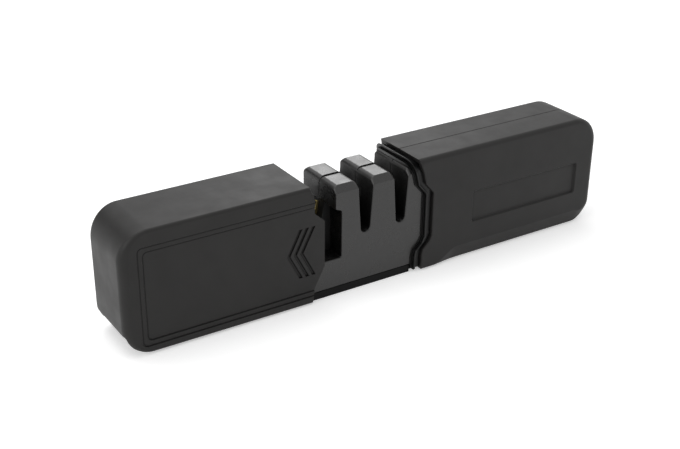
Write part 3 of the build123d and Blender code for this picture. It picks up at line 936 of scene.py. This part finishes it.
@dataclass
class Core:
    """Core in two halves: teeth between three slots, with carriers, blades and rods in the middle."""

    tail: float = -22.8
    neck: float = 63.0
    foot: float = 2.4
    top: float = 42.8
    half: float = 11.3
    crown: float = 0.7
    front_bevel: Pair = (2.1, 2.3)
    back_bevel: Pair = (1.1, 1.1)
    tail_radius: float = 9.3
    neck_radius: float = 4.0
    slot_middles: Pair = (24.6, 40.1)
    slot_mouth: float = 3.0
    slot_mouth_level: float = 38.8
    slot_foot: float = 1.95
    slot_foot_level: float = 23.6
    slot_floor: float = 21.6
    wide_middle: float = 7.0
    wide_mouth: float = 4.65
    wide_pocket: float = 7.2
    wide_step: float = 33.5
    wide_slope: float = 1.0
    wide_floor: float = 13.9
    roll: float = 2.1
    roll_front: float = 0.9
    slot_edge: float = 0.5
    step_round: float = 0.5
    floor_round: float = 0.6
    seam: float = 0.26
    carrier_half: float = 3.7
    wall: float = 2.0
    wide_holder: Triple = (8.7, 10.9, 33.5)
    narrow_holder: Triple = (6.3, 16.4, 35.6)
    cell_end: float = -3.4
    cell_drop: float = 4.3
    runner_levels: Pair = (21.3, 24.3)
    runner_length: float = 10.3
    runner_inset: float = 1.0
    runner_height: float = 0.45

    def comb(self, top: float, grow: float, roll: float) -> Outline:
        """Side view of one section: the teeth with the slots between them.

        Args:
            top: Level of the tooth tops.
            grow: Distance that slots grow and outer ends shrink.
            roll: Radius of the slots' upper edges.

        Returns:
            The outline.
        """
        corners = [
            Corner(self.tail + grow, self.foot + grow),
            Corner(self.neck - grow, self.foot + grow),
            Corner(self.neck - grow, top, self.neck_radius, parts=8),
        ]
        mouth_level = min(self.slot_mouth_level, top - roll - 0.4)
        for middle in reversed(self.slot_middles):
            mouth, foot = middle + self.slot_mouth + grow, middle + self.slot_foot + grow
            right = [
                Corner(mouth, top, roll, parts=8),
                Corner(mouth, mouth_level),
                Corner(foot, self.slot_foot_level),
                Corner(foot, self.slot_floor - grow, self.slot_foot - 0.1, parts=8),
            ]
            corners += flipped(right, middle)
        mouth, pocket = (self.wide_middle + half + grow for half in (self.wide_mouth, self.wide_pocket))
        right = [
            Corner(mouth, top, roll, parts=8),
            Corner(mouth, self.wide_step + grow, self.step_round, parts=4),
            Corner(pocket, self.wide_step - self.wide_slope + grow, self.step_round, parts=4),
            Corner(pocket, self.wide_floor - grow, self.floor_round, parts=4),
        ]
        corners += flipped(right, self.wide_middle)
        corners.append(Corner(self.tail + grow, top, self.tail_radius, parts=12))
        return Outline(corners)

    def rings(self, bevel: Pair) -> list[np.ndarray]:
        """Sections of a half in front of the seam, from its face to the seam.

        Args:
            bevel: Width and height of the bevel between its face and its top.

        Returns:
            Rings of x, y and z in millimetres.
        """
        edge = self.top - self.crown
        front = -self.half
        shoulder = Outline(
            [
                Corner(front, 0.0),
                Corner(1.0, 0.0),
                Corner(1.0, self.top + self.crown / self.half),
                Corner(front + bevel[0], edge, 0.6, parts=6),
                Corner(front, edge - bevel[1], 0.5, parts=6),
            ]
        ).places
        shoulder = shoulder[(shoulder[:, 1] > self.foot) & (shoulder[:, 0] < 0.9)]
        shoulder = shoulder[np.argsort(shoulder[:, 0])]
        turn = np.linspace(0, math.pi / 2, 5)
        lips = front + self.slot_edge * (1 - np.cos(turn))
        gaps = np.array([-0.3, -0.16, -0.06, 0.0])
        levels = np.unique(np.round(np.concatenate([shoulder[:, 0], lips, gaps]), 4))
        rings = []
        for level in levels:
            inside = min(max((level - front) / self.slot_edge, 0.0), 1.0)
            grow = self.slot_edge * (1 - math.sqrt(1 - (1 - inside) ** 2))
            gap = float(np.interp(level, gaps, self.seam * np.array([0.0, 0.18, 0.5, 1.0])))
            top = float(np.interp(level, shoulder[:, 0], shoulder[:, 1])) if level < 0 else self.top
            top = min(top, self.top) - gap
            roll = float(np.interp(level, [front, front + bevel[0]], [self.roll_front, self.roll]))
            rings.append(self.comb(top, max(grow, gap), roll).ring(level))
        rings[0][:, 1] = front
        return rings

    def pockets(self, side: Side) -> list[Solid]:
        """Cutters of the carrier pockets and the tail's hollow in one half.

        Args:
            side: Front or back half.

        Returns:
            The cutters.
        """
        start = 0.5 * -side.value
        near, far = sorted((start, side.value * self.carrier_half))
        spots = [(self.wide_middle, *self.wide_holder)] + [(x, *self.narrow_holder) for x in self.slot_middles]
        made = [block("pocket", (x - half, near, low), (x + half, far, high)) for x, half, low, high in spots]
        near, far = sorted((start, side.value * (self.half - self.wall)))
        low = (self.tail + self.wall, near, self.foot + self.wall)
        made.append(block("cell", low, (self.cell_end, far, self.top - self.cell_drop), 1.0))
        return made

    def half_body(self, side: Side) -> Solid:
        """One half with its pockets and its runner.

        Args:
            side: Front or back half.

        Returns:
            The solid.
        """
        if side is Side.LOW:
            half = Solid("core_front", self.rings(self.front_bevel))
        else:
            half = Solid("core_back", mirrored(self.rings(self.back_bevel)))
        half.cut(*self.pockets(side))
        near, far = sorted((side.value * (self.half - 0.1), side.value * (self.half + self.runner_height)))
        left = self.tail + self.runner_inset
        low, high = self.runner_levels
        return half.add(block("runner", (left, near, low), (left + self.runner_length, far, high), 0.5))

    def build(self, palette: Palette) -> None:
        """Makes both halves and dresses them.

        Args:
            palette: Finishes of all pieces.
        """
        self.half_body(Side.LOW).dress(palette.core, Body.CORE, "core_front")
        back = self.half_body(Side.HIGH).cut(*bores(CORE_SCREWS, -0.6, [(13.0, HEAD_BORE)], 24))
        back.dress(palette.core, Body.CORE, "core_back")


@dataclass
class Sharpening:
    """Carriers with their crossing blades, rods and dowel pins."""

    lean: float = math.radians(18)
    slot_first: float = 24.6
    slot_second: float = 40.1
    narrow_crossing: float = 25.6
    wide_middle: float = 7.0
    gold_crossing: float = 21.5
    pin_radius: float = 0.65
    pin_drop: float = 4.9
    carrier_half: float = 3.6
    rod_radius: float = 1.5
    rod_spread: float = 1.65
    rod_drop: float = 4.4
    rod_length: float = 13.6
    gold_blade: tuple[float, ...] = (6.8, 12.0, 4.2, 1.7)
    carbide_blade: tuple[float, ...] = (6.8, 8.6, 3.2, 1.3)

    def blade(self, name: str, middle: float, crossing: float, side: Side, sizes: Sequence[float]) -> Solid:
        """One leaning blade with ground edges and its pin hole.

        Args:
            name: Name of the piece.
            middle: Middle of the slot.
            crossing: Level where both blades cross.
            side: Left or right blade.
            sizes: Length below and above the crossing, width and thickness.

        Returns:
            The solid.
        """
        sign = side.value
        below, above, wide, thick = sizes
        up = np.array([sign * math.sin(self.lean), math.cos(self.lean)])
        away = np.array([sign * math.cos(self.lean), -math.sin(self.lean)])
        point = np.array([middle, crossing])
        low, high = point - up * below, point + up * above
        corners = [low, low + away * wide, high + away * wide, high]
        if sign < 0:
            corners.reverse()
        line = Outline([Corner(*c, 0.25, parts=3) for c in corners])
        near, far = (-thick, 0.0) if sign < 0 else (0.0, thick)
        ease = ((0.0, 0.2), (0.06, 0.06), (0.2, 0.0))
        steps = [(near + depth, inset) for depth, inset in ease]
        steps += [(far - depth, inset) for depth, inset in reversed(ease)]
        blade = Solid(name, [line.ring(level, inset) for level, inset in steps])
        hole = [(0.0, self.pin_radius + 0.05), (10.0, self.pin_radius + 0.05)]
        return blade.cut(turned("hole", (middle, -5.0, crossing - self.pin_drop), (0, 1, 0), hole, 24))

    def bar(self, length: float, radius: float, ease: float) -> list[Pair]:
        """Profile of a round bar with rounded ends."""
        start = [(0.0, radius - 3 * ease), (ease, radius - ease), (3 * ease, radius)]
        return start + [(length - along, out) for along, out in reversed(start)]

    def pin(self, name: str, middle: float, crossing: float) -> Solid:
        """Dowel pin under the crossing, with rounded ends."""
        profile = self.bar(2 * self.carrier_half, self.pin_radius, 0.05)
        return turned(name, (middle, -self.carrier_half, crossing - self.pin_drop), (0, 1, 0), profile, 24)

    def rod(self, name: str, side: Side) -> Solid:
        """One leaning ceramic rod with rounded ends.

        Args:
            name: Name of the piece.
            side: Left or right rod.

        Returns:
            The solid.
        """
        sign = side.value
        up = Vector((sign * math.sin(self.lean), 0.0, math.cos(self.lean)))
        away = Vector((sign * math.cos(self.lean), 0.0, -math.sin(self.lean)))
        point = Vector((self.slot_second, sign * self.rod_spread, self.narrow_crossing))
        foot = point - up * self.rod_drop + away * self.rod_radius
        return turned(name, foot, up, self.bar(self.rod_length, self.rod_radius, 0.1), 40)

    def build(self, palette: Palette) -> None:
        """Makes blades, pins and rods, and dresses the carriers of the frame.

        Args:
            palette: Finishes of all pieces.
        """
        pairs = (
            ("gold", palette.gold, self.wide_middle, self.gold_crossing, self.gold_blade),
            ("carbide", palette.carbide, self.slot_first, self.narrow_crossing, self.carbide_blade),
        )
        for side, word in ((Side.LOW, "left"), (Side.HIGH, "right")):
            for metal, finish, middle, crossing, sizes in pairs:
                name = f"{metal}_blade_{word}"
                self.blade(name, middle, crossing, side, sizes).dress(finish, Body.CORE, name)
            name = f"ceramic_rod_{word}"
            self.rod(name, side).dress(palette.ceramic, Body.CORE, name)
        for metal, _, middle, crossing, _ in pairs:
            name = f"{metal}_pin"
            self.pin(name, middle, crossing).dress(palette.steel, Body.CORE, name)
        for node in ("gold_holder", "carbide_holder", "ceramic_holder"):
            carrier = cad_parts[node]
            carrier.data.materials.clear()
            carrier.data.materials.append(palette.carrier.material())
            LOG.info("%s: kept from the frame", node)


@dataclass
class Rim:
    """Line between core and handle, which the collar and the handle's edge follow."""

    corners: tuple[Pair, ...] = (
        (46.0, 0.0),
        (46.0, 6.0),
        (46.5, 8.2),
        (49.6, 11.2),
        (50.4, 13.2),
        (50.4, 31.0),
        (46.8, 35.2),
        (45.5, 40.3),
        (43.5, 45.6),
    )
    rounding: float = 1.1
    closing_place: float = -50.0

    def rows(self) -> np.ndarray:
        """The line from the lower rim to the roof, with rounded corners.

        Returns:
            Rows of x and z in millimetres.
        """
        bends = [Corner(x, z, self.rounding, parts=5) for x, z in self.corners[1:-1]]
        closing = [Corner(self.closing_place, self.corners[-1][1]), Corner(self.closing_place, 0.0)]
        line = Outline([Corner(*self.corners[0])] + bends + [Corner(*self.corners[-1])] + closing)
        return line.places[: -len(closing)]


@dataclass
class Collar:
    """Soft black collar round the core: low band, rounded ridge and groove."""

    rim: Rim = field(default_factory=Rim)
    core_size: Triple = (11.3, 2.4, 42.1)
    band_size: Triple = (11.7, 0.3, 43.5)
    groove_size: Triple = (11.9, 0.3, 44.1)
    ridge_size: Triple = (13.0, 0.2, 45.2)
    corner: float = 5.0
    bevels: tuple[Pair, Pair] = ((2.1, 2.3), (1.1, 1.1))
    shared_levels: Pair = (4.0, 39.8)

    def loop(self, shift: float, size: Triple) -> np.ndarray:
        """One closed line round the core at a shift from the rim line.

        Args:
            shift: Distance along X from the rim line.
            size: Half width, lower level and upper level.

        Returns:
            Rows of x, y and z.
        """
        half, low, high = size
        rim = self.rim.rows()
        foot, limit = self.shared_levels
        shared = rim[(rim[:, 1] > foot) & (rim[:, 1] < limit), 1]
        start = [(0.6, low), (0.0, low + 0.6)]
        if size == self.core_size:
            levels = np.concatenate([shared, np.linspace(limit, high, 7)])
            sides = []
            for wide, tall in self.bevels:
                sides.append(start + [(max(z - high + tall, 0.0) * wide / tall, z) for z in levels])
        else:
            turn = np.linspace(0, math.pi / 2, 7)
            corner = min(self.corner, high - limit)
            bend = [(corner * (1 - math.cos(a)), high - corner * (1 - math.sin(a))) for a in turn]
            sides = [start + [(0.0, z) for z in shared] + bend] * 2
        flat = [(inset - half, z) for inset, z in sides[0]]
        flat += [(half - inset, z) for inset, z in reversed(sides[1])]
        rows = [(float(np.interp(z, rim[:, 1], rim[:, 0])) + shift, y, z) for y, z in flat]
        return np.array(rows)

    def between(self, first: tuple[float, ...], second: tuple[float, ...], share: float) -> tuple[float, ...]:
        """Size between two sizes."""
        return tuple(a * (1 - share) + b * share for a, b in zip(first, second))

    def build(self, palette: Palette) -> None:
        """Sweeps the collar's profile round the core and dresses it.

        Args:
            palette: Finishes of all pieces.
        """
        band, ridge, groove = self.band_size, self.ridge_size, self.groove_size
        steps = [
            (-1.0, self.core_size),
            (-0.88, band),
            (-0.12, band),
            (-0.02, self.between(band, ridge, 0.08)),
            (0.0, self.between(band, ridge, 0.6)),
            (0.06, self.between(band, ridge, 0.84)),
            (0.2, self.between(band, ridge, 0.97)),
            (0.375, ridge),
            (0.55, self.between(groove, ridge, 0.94)),
            (0.69, self.between(groove, ridge, 0.7)),
            (0.75, self.between(groove, ridge, 0.2)),
            (0.8, groove),
            (3.15, groove),
            (3.15, self.core_size),
        ]
        rings = [self.loop(shift, size) for shift, size in steps]
        Solid("rim_collar", rings, wrap=True).dress(palette.collar, Body.CORE, "rim_collar")


@dataclass
class Handle:
    """Handle in two halves, with a recessed panel in front and screws behind."""

    rim: Rim = field(default_factory=Rim)
    end: float = 135.3
    height: float = 45.6
    half: float = 13.4
    wall: float = 2.0
    crown: float = 0.1
    top_radius: float = 11.5
    foot_radius: float = 8.6
    rim_shift: float = 3.15
    rim_round: float = 1.1
    top_edge: Edge = Edge(1.8, 1.8)
    end_edge: Edge = Edge(2.8, 2.8)
    tuck_edge: Edge = Edge(5.6, 1.5, 1.0)
    rim_edge: Edge = Edge(0.5, 0.5)
    flare: Pair = (54.0, 66.0)
    seam: float = 0.26
    panel_low: Pair = (72.6, 14.0)
    panel_size: Pair = (52.8, 13.0)
    panel_depth: float = 0.9
    panel_corner: float = 0.9
    rim_share: float = 0.55
    spacing: float = 6.0
    open_end: float = 40.0
    post_radius: float = 3.2
    recess_span: Pair = (61.9, 124.1)
    recess_half: float = 7.6
    recess_corner: float = 3.8
    recess_levels: Pair = (-3.0, 1.2)

    def line(self) -> Outline:
        """Side view with the edge sizes of every run.

        Returns:
            The outline.
        """
        start, end = self.flare
        rim = [Corner(x + self.rim_shift, z, self.rim_round, self.rim_edge, 5) for x, z in self.rim.corners]
        corners = [Corner(rim[0].u, 0.0, 0.0, self.rim_edge)]
        for share in np.linspace(0, 1, 9):
            ease = share * share * (3 - 2 * share)
            values = self.rim_edge.values() * (1 - ease) + self.tuck_edge.values() * ease
            corners.append(Corner(start + (end - start) * share, 0.0, 0.0, Edge(*values)))
        corners.append(Corner(self.end, 0.0, self.foot_radius, self.end_edge, 18))
        corners.append(Corner(self.end, self.height, self.top_radius, self.top_edge, 20))
        corners.append(Corner(rim[-1].u, self.height, 0.0, self.top_edge))
        share = self.rim_share
        u = rim[-1].u * (1 - share) + rim[-2].u * share
        corners.append(Corner(u, self.height * (1 - share) + rim[-2].v * share, 0.0, self.rim_edge))
        return Outline(corners + list(reversed(rim[1:-1])), self.spacing)

    def rings(self) -> list[np.ndarray]:
        """Sections of the front half, from the front face to the seam.

        Returns:
            Rings of x, y and z in millimetres.
        """
        line = self.line()
        rings = line.edge_rings(self.half)
        for level, share in ((-0.3, 0.0), (-0.16, 0.18), (-0.06, 0.5), (0.0, 1.0)):
            rings.append(line.ring(level, self.seam * share))
        upward = np.clip(line.normals[:, 1], 0.0, 1.0) ** 2
        for ring in rings:
            ring[:, 2] -= self.crown * upward * np.abs(ring[:, 1]) / self.half
        return rings

    def hollow(self) -> Solid:
        """Cutter of the inner space, open at the rim.

        Returns:
            The cutter.
        """
        wall = self.wall
        line = Outline(
            [
                Corner(self.open_end, wall),
                Corner(self.end - wall, wall, self.foot_radius - wall, parts=10),
                Corner(self.end - wall, self.height - wall, self.top_radius - wall, parts=12),
                Corner(self.open_end, self.height - wall),
            ]
        )
        inner = self.half - wall
        return Solid("hollow", [line.ring(-inner), line.ring(inner)])

    def panel(self) -> Solid:
        """Cutter of the recessed panel, with sloping walls and soft edges.

        Returns:
            The cutter.
        """
        x, z = self.panel_low
        wide, high = self.panel_size
        line = rectangle((x, z), (x + wide, z + high), (self.panel_corner,) * 4, 5)
        depth = self.panel_depth
        # Each step is an inset and a depth, from outside the face to the floor of the panel.
        steps = [(-0.22, -1.0), (-0.22, 0.0), (-0.08, 0.05), (0.02, 0.17), (0.38, depth - 0.17)]
        steps += [(0.5, depth - 0.05), (0.68, depth)]
        return Solid("panel", [line.ring(-self.half + down, inset) for inset, down in steps])

    def posts(self, side: Side) -> list[Solid]:
        """Screw bosses across the hollow of one half."""
        profile = [(0.0, self.post_radius), (self.half - self.wall + 0.1, self.post_radius)]
        return [turned("post", (x, 0.0, z), (0, side.value, 0), profile) for x, z in HANDLE_SCREWS]

    def half_body(self, side: Side) -> Solid:
        """One half shell with its bosses and the recess for the sole.

        Args:
            side: Front or back half.

        Returns:
            The solid.
        """
        rings = self.rings()
        front = side is Side.LOW
        shell = Solid("handle_front" if front else "handle_back", rings if front else mirrored(rings))
        shell.cut(self.hollow())
        shell.add(*self.posts(side))
        (left, right), half = self.recess_span, self.recess_half
        recess = rectangle((left, -half), (right, half), (self.recess_corner,) * 4)
        shell.cut(Solid("recess", [recess.ring(level, 0.0, Flat.PLAN) for level in self.recess_levels]))
        if front:
            return shell.cut(self.panel())
        mouth = [(self.half - 0.3, HEAD_BORE), (self.half, HEAD_BORE + 0.25), (16.0, HEAD_BORE + 0.25)]
        return shell.cut(*bores(HANDLE_SCREWS, -1.0, mouth, 40))

    def build(self, palette: Palette) -> None:
        """Makes both halves and dresses them."""
        self.half_body(Side.LOW).dress(palette.shell, Body.CORE, "handle_front")
        self.half_body(Side.HIGH).dress(palette.shell, Body.CORE, "handle_back")


@dataclass
class Soles:
    """Rubber soles under the core and the handle, with fine grooves underneath."""

    foot: float = -0.7
    core_span: Pair = (-22.8, 44.9)
    core_half: float = 11.3
    core_top: float = 2.4
    core_rounds: Pair = (0.3, 0.25)
    core_groove: float = 7.0
    handle_span: Pair = (62.0, 124.0)
    handle_half: float = 7.5
    handle_top: float = 1.2
    handle_rounds: Pair = (3.75, 0.3)
    handle_groove: float = 4.5
    groove_pitch: float = 3.0
    groove_depth: float = 0.3
    groove_half: float = 0.5
    bare_ends: float = 6.0
    top_round: float = 0.25
    top_ease: float = 0.07

    def slab(self, name: str, span: Pair, half: float, top: float, corner: float, edge: float) -> Solid:
        """One sole with rounded lower edges.

        Args:
            name: Name of the piece.
            span: Lowest and highest X.
            half: Half of the width.
            top: Upper level.
            corner: Radius of the corners in plan.
            edge: Radius of the lower edges.

        Returns:
            The solid.
        """
        line = rectangle((span[0], -half), (span[1], half), (corner,) * 4, 8)
        turns = np.linspace(math.pi / 2, 0, 5)
        steps = [(self.foot + edge * (1 - math.sin(a)), edge * (1 - math.cos(a))) for a in turns]
        steps += [(top - self.top_round, 0.0), (top - self.top_ease, self.top_ease), (top, self.top_round)]
        return Solid(name, [line.ring(level, inset, Flat.PLAN) for level, inset in steps])

    def grooves(self, span: Pair, half: float, stepping: Stepping, finish: Finish) -> Solid:
        """Row of cross grooves as one cutter.

        Args:
            span: Lowest and highest X of the sole.
            half: Half length of each groove.
            stepping: Tree that lays the row.
            finish: Finish of the groove walls.

        Returns:
            The cutter.
        """
        line = rectangle((-self.groove_half, -1.0), (self.groove_half, self.groove_depth))
        bar = Solid("groove", [line.ring(-half), line.ring(half)], placed=False)
        count = int((span[1] - span[0] - self.bare_ends) / self.groove_pitch)
        start = (span[0] + span[1] - (count - 1) * self.groove_pitch) / 2
        places = [(start + index * self.groove_pitch, 0.0, self.foot) for index in range(count)]
        return stepping.lay("grooves", bar, places, finish)

    def build(self, palette: Palette, stepping: Stepping) -> None:
        """Makes both soles and dresses them.

        Args:
            palette: Finishes of all pieces.
            stepping: Tree that lays the grooves.
        """
        soles = (
            ("base_pad", self.core_span, self.core_half, self.core_top, self.core_rounds, self.core_groove),
            (
                "handle_pad", self.handle_span, self.handle_half, self.handle_top,
                self.handle_rounds, self.handle_groove,
            ),
        )
        for name, span, half, top, rounds, groove in soles:
            sole = self.slab(name, span, half, top, *rounds)
            sole.cut(self.grooves(span, groove, stepping, palette.sole))
            sole.dress(palette.sole, Body.CORE, name)


@dataclass
class Screws:
    """Pan head screws that hold the halves together."""

    length: float = 13.0
    shank: float = 1.2
    head: float = 2.2
    head_height: float = 1.8
    head_round: float = 0.9
    socket: float = 1.4
    socket_depth: float = 1.0
    thread_pitch: float = 0.9
    thread_depth: float = 0.25

    def screw(self) -> Solid:
        """One screw along Y with its head's seat at the origin.

        Returns:
            The screw, drawn about the origin.
        """
        tip, shank, bend = -self.length, self.shank, self.head_round
        root = shank - self.thread_depth
        # Each step is a place along the screw and a radius.
        profile = [(tip, 0.5), (tip + 0.9, root), (tip + 1.2, root)]
        for index in range(int((self.length - 2.0) / self.thread_pitch)):
            start = tip + 1.4 + index * self.thread_pitch
            profile += [(start, root), (start + 0.3, shank), (start + 0.42, shank), (start + 0.72, root)]
        profile += [(0.0, root), (0.0, self.head - 0.1), (0.1, self.head)]
        for angle in np.linspace(0, math.pi / 2, 6)[:-1]:
            out = self.head - bend + bend * math.cos(angle)
            profile.append((self.head_height - bend + bend * math.sin(angle), out))
        profile.append((self.head_height, self.head - bend))
        made = turned("screw", (0, 0, 0), (0, 1, 0), profile, 28, placed=False)
        angles = [math.radians(60 * index) for index in range(6)]
        line = Outline([Corner(self.socket * math.cos(a), self.socket * math.sin(a)) for a in angles])
        floor = self.head_height - self.socket_depth
        socket = Solid("socket", [line.ring(floor), line.ring(self.head_height + 1.0)], placed=False)
        return made.cut(socket)

    def build(self, palette: Palette, stepping: Stepping) -> None:
        """Sets the screws in both halves.

        Args:
            palette: Finishes of all pieces.
            stepping: Tree that sets the screws.
        """
        for name, places, seed in (("core_screws", CORE_SCREWS, 3), ("handle_screws", HANDLE_SCREWS, 8)):
            spots = [(x, SCREW_SEAT, z) for x, z in places]
            group = stepping.lay(name, self.screw(), spots, palette.steel, math.radians(60), seed)
            group.dress(palette.steel, Body.CORE, name)


@dataclass
class Studio:
    """Camera, lamps and plain surroundings."""

    yaw: float = 0.5743
    pitch: float = 0.4582
    roll: float = 0.0094
    lens: float = 61.98
    sensor: float = 36.0
    nearest: float = 0.01
    eye: Triple = (-0.22245, -0.32649, 0.21328)
    world_level: float = 0.62
    floor_glow: float = 0.40
    floor_grey: float = 0.9
    floor_reach: float = 3.0

    def camera(self) -> None:
        """Creates the camera at the photograph's place."""
        data = bpy.data.cameras.new("camera")
        data.lens = self.lens
        data.sensor_width = self.sensor
        data.clip_start = self.nearest
        level = math.cos(self.pitch)
        ahead = Vector((math.sin(self.yaw) * level, math.cos(self.yaw) * level, -math.sin(self.pitch)))
        right = Vector((math.cos(self.yaw), -math.sin(self.yaw), 0.0))
        above = right.cross(ahead)
        cos, sin = math.cos(self.roll), math.sin(self.roll)
        matrix = Matrix((right * cos + above * sin, above * cos - right * sin, -ahead)).transposed().to_4x4()
        matrix.translation = Vector(self.eye)
        camera = linked("camera", data)
        camera.matrix_world = matrix
        bpy.context.scene.camera = camera

    def lamp(self, name: str, place: Sequence[float], aim: Sequence[float], size: float, power: float) -> None:
        """Adds a square soft lamp.

        Args:
            name: Name of the lamp.
            place: Place of its middle, in metres.
            aim: Point that it faces, in metres.
            size: Length of its sides, in metres.
            power: Power in watts.
        """
        data = bpy.data.lights.new(name, "AREA")
        data.size = size
        data.energy = power
        lamp = linked(name, data)
        lamp.location = place
        lamp.rotation_euler = (Vector(aim) - Vector(place)).to_track_quat("-Z", "Y").to_euler()

    def card(self, place: Sequence[float], aim: Sequence[float], size: float) -> None:
        """Adds a square black card that shows only in reflections.

        Args:
            place: Place of its middle, in metres.
            aim: Point that it faces, in metres.
            size: Length of its sides, in metres.
        """
        turn = (Vector(aim) - Vector(place)).to_track_quat("Z", "Y").to_matrix()
        corners = [tuple(turn @ Vector(corner) + Vector(place)) for corner in square(size / 2)]
        card = meshed("card", corners, [(0, 1, 2, 3)])
        card.visible_camera = False
        card.visible_diffuse = False
        card.visible_shadow = False
        black, graph = coating("card_black")
        matt = graph.node("ShaderNodeBsdfDiffuse", {"Color": grey(0.0)}).outputs[0]
        graph.node("ShaderNodeOutputMaterial", {"Surface": matt})
        card.data.materials.append(black)

    def _seen(self, graph: Graph) -> Socket:
        """Share of rays from camera, gloss and clear pieces.

        Args:
            graph: Tree to build in.

        Returns:
            Socket with the share.
        """
        path = graph.node("ShaderNodeLightPath").outputs
        seen = graph.math("MAXIMUM", path["Is Camera Ray"], path["Is Glossy Ray"])
        return graph.math("MAXIMUM", seen, path["Is Transmission Ray"])

    def surroundings(self) -> None:
        """Creates the pale floor and the even white surroundings."""
        world = bpy.data.worlds.new("surroundings")
        world.use_nodes = True
        graph = Graph(world.node_tree)
        soft, white = (
            graph.node("ShaderNodeBackground", {"Color": grey(1.0), "Strength": level}).outputs[0]
            for level in (self.world_level, 1.0)
        )
        mixed = graph.node("ShaderNodeMixShader", {0: self._seen(graph), 1: soft, 2: white}).outputs[0]
        graph.node("ShaderNodeOutputWorld", {"Surface": mixed})
        bpy.context.scene.world = world
        floor = meshed("floor", square(self.floor_reach), [(0, 1, 2, 3)])
        paper, graph = coating("floor_paper")
        matt = graph.node("ShaderNodeBsdfDiffuse", {"Color": grey(self.floor_grey)}).outputs[0]
        strength = graph.math("MULTIPLY", self._seen(graph), self.floor_glow)
        glow = graph.node("ShaderNodeEmission", {"Color": grey(1.0), "Strength": strength}).outputs[0]
        both = graph.node("ShaderNodeAddShader", {0: matt, 1: glow}).outputs[0]
        graph.node("ShaderNodeOutputMaterial", {"Surface": both})
        floor.data.materials.append(paper)

    def build(self) -> None:
        """Sets up the studio."""
        bpy.context.scene.view_settings.view_transform = "Standard"
        self.camera()
        self.surroundings()
        self.lamp("lamp_top", (-0.15, 0.25, 0.9), (0.0, 0.0, 0.02), size=0.7, power=3.0)
        self.lamp("lamp_left", (-0.9, -0.1, 0.45), (-0.05, 0.0, 0.03), size=0.5, power=2.0)
        self.lamp("lamp_back", (0.46, 0.76, 0.50), (0.0, 0.0, 0.04), size=0.22, power=0.75)
        self.card((-0.445, 0.83, 0.37), (-0.09, 0.0, 0.04), size=0.36)


DATUM = Datum()


def main() -> None:
    """Builds the studio and every sub-assembly, and reports each piece."""
    logging.basicConfig(level=logging.INFO, format="%(name)s: %(message)s")
    Studio().build()
    palette = Palette()
    stepping = Stepping()
    Cover().build(palette)
    Core().build(palette)
    Sharpening().build(palette)
    Collar().build(palette)
    Handle().build(palette)
    Soles().build(palette, stepping)
    Screws().build(palette, stepping)


if __name__ == "__main__":
    main()
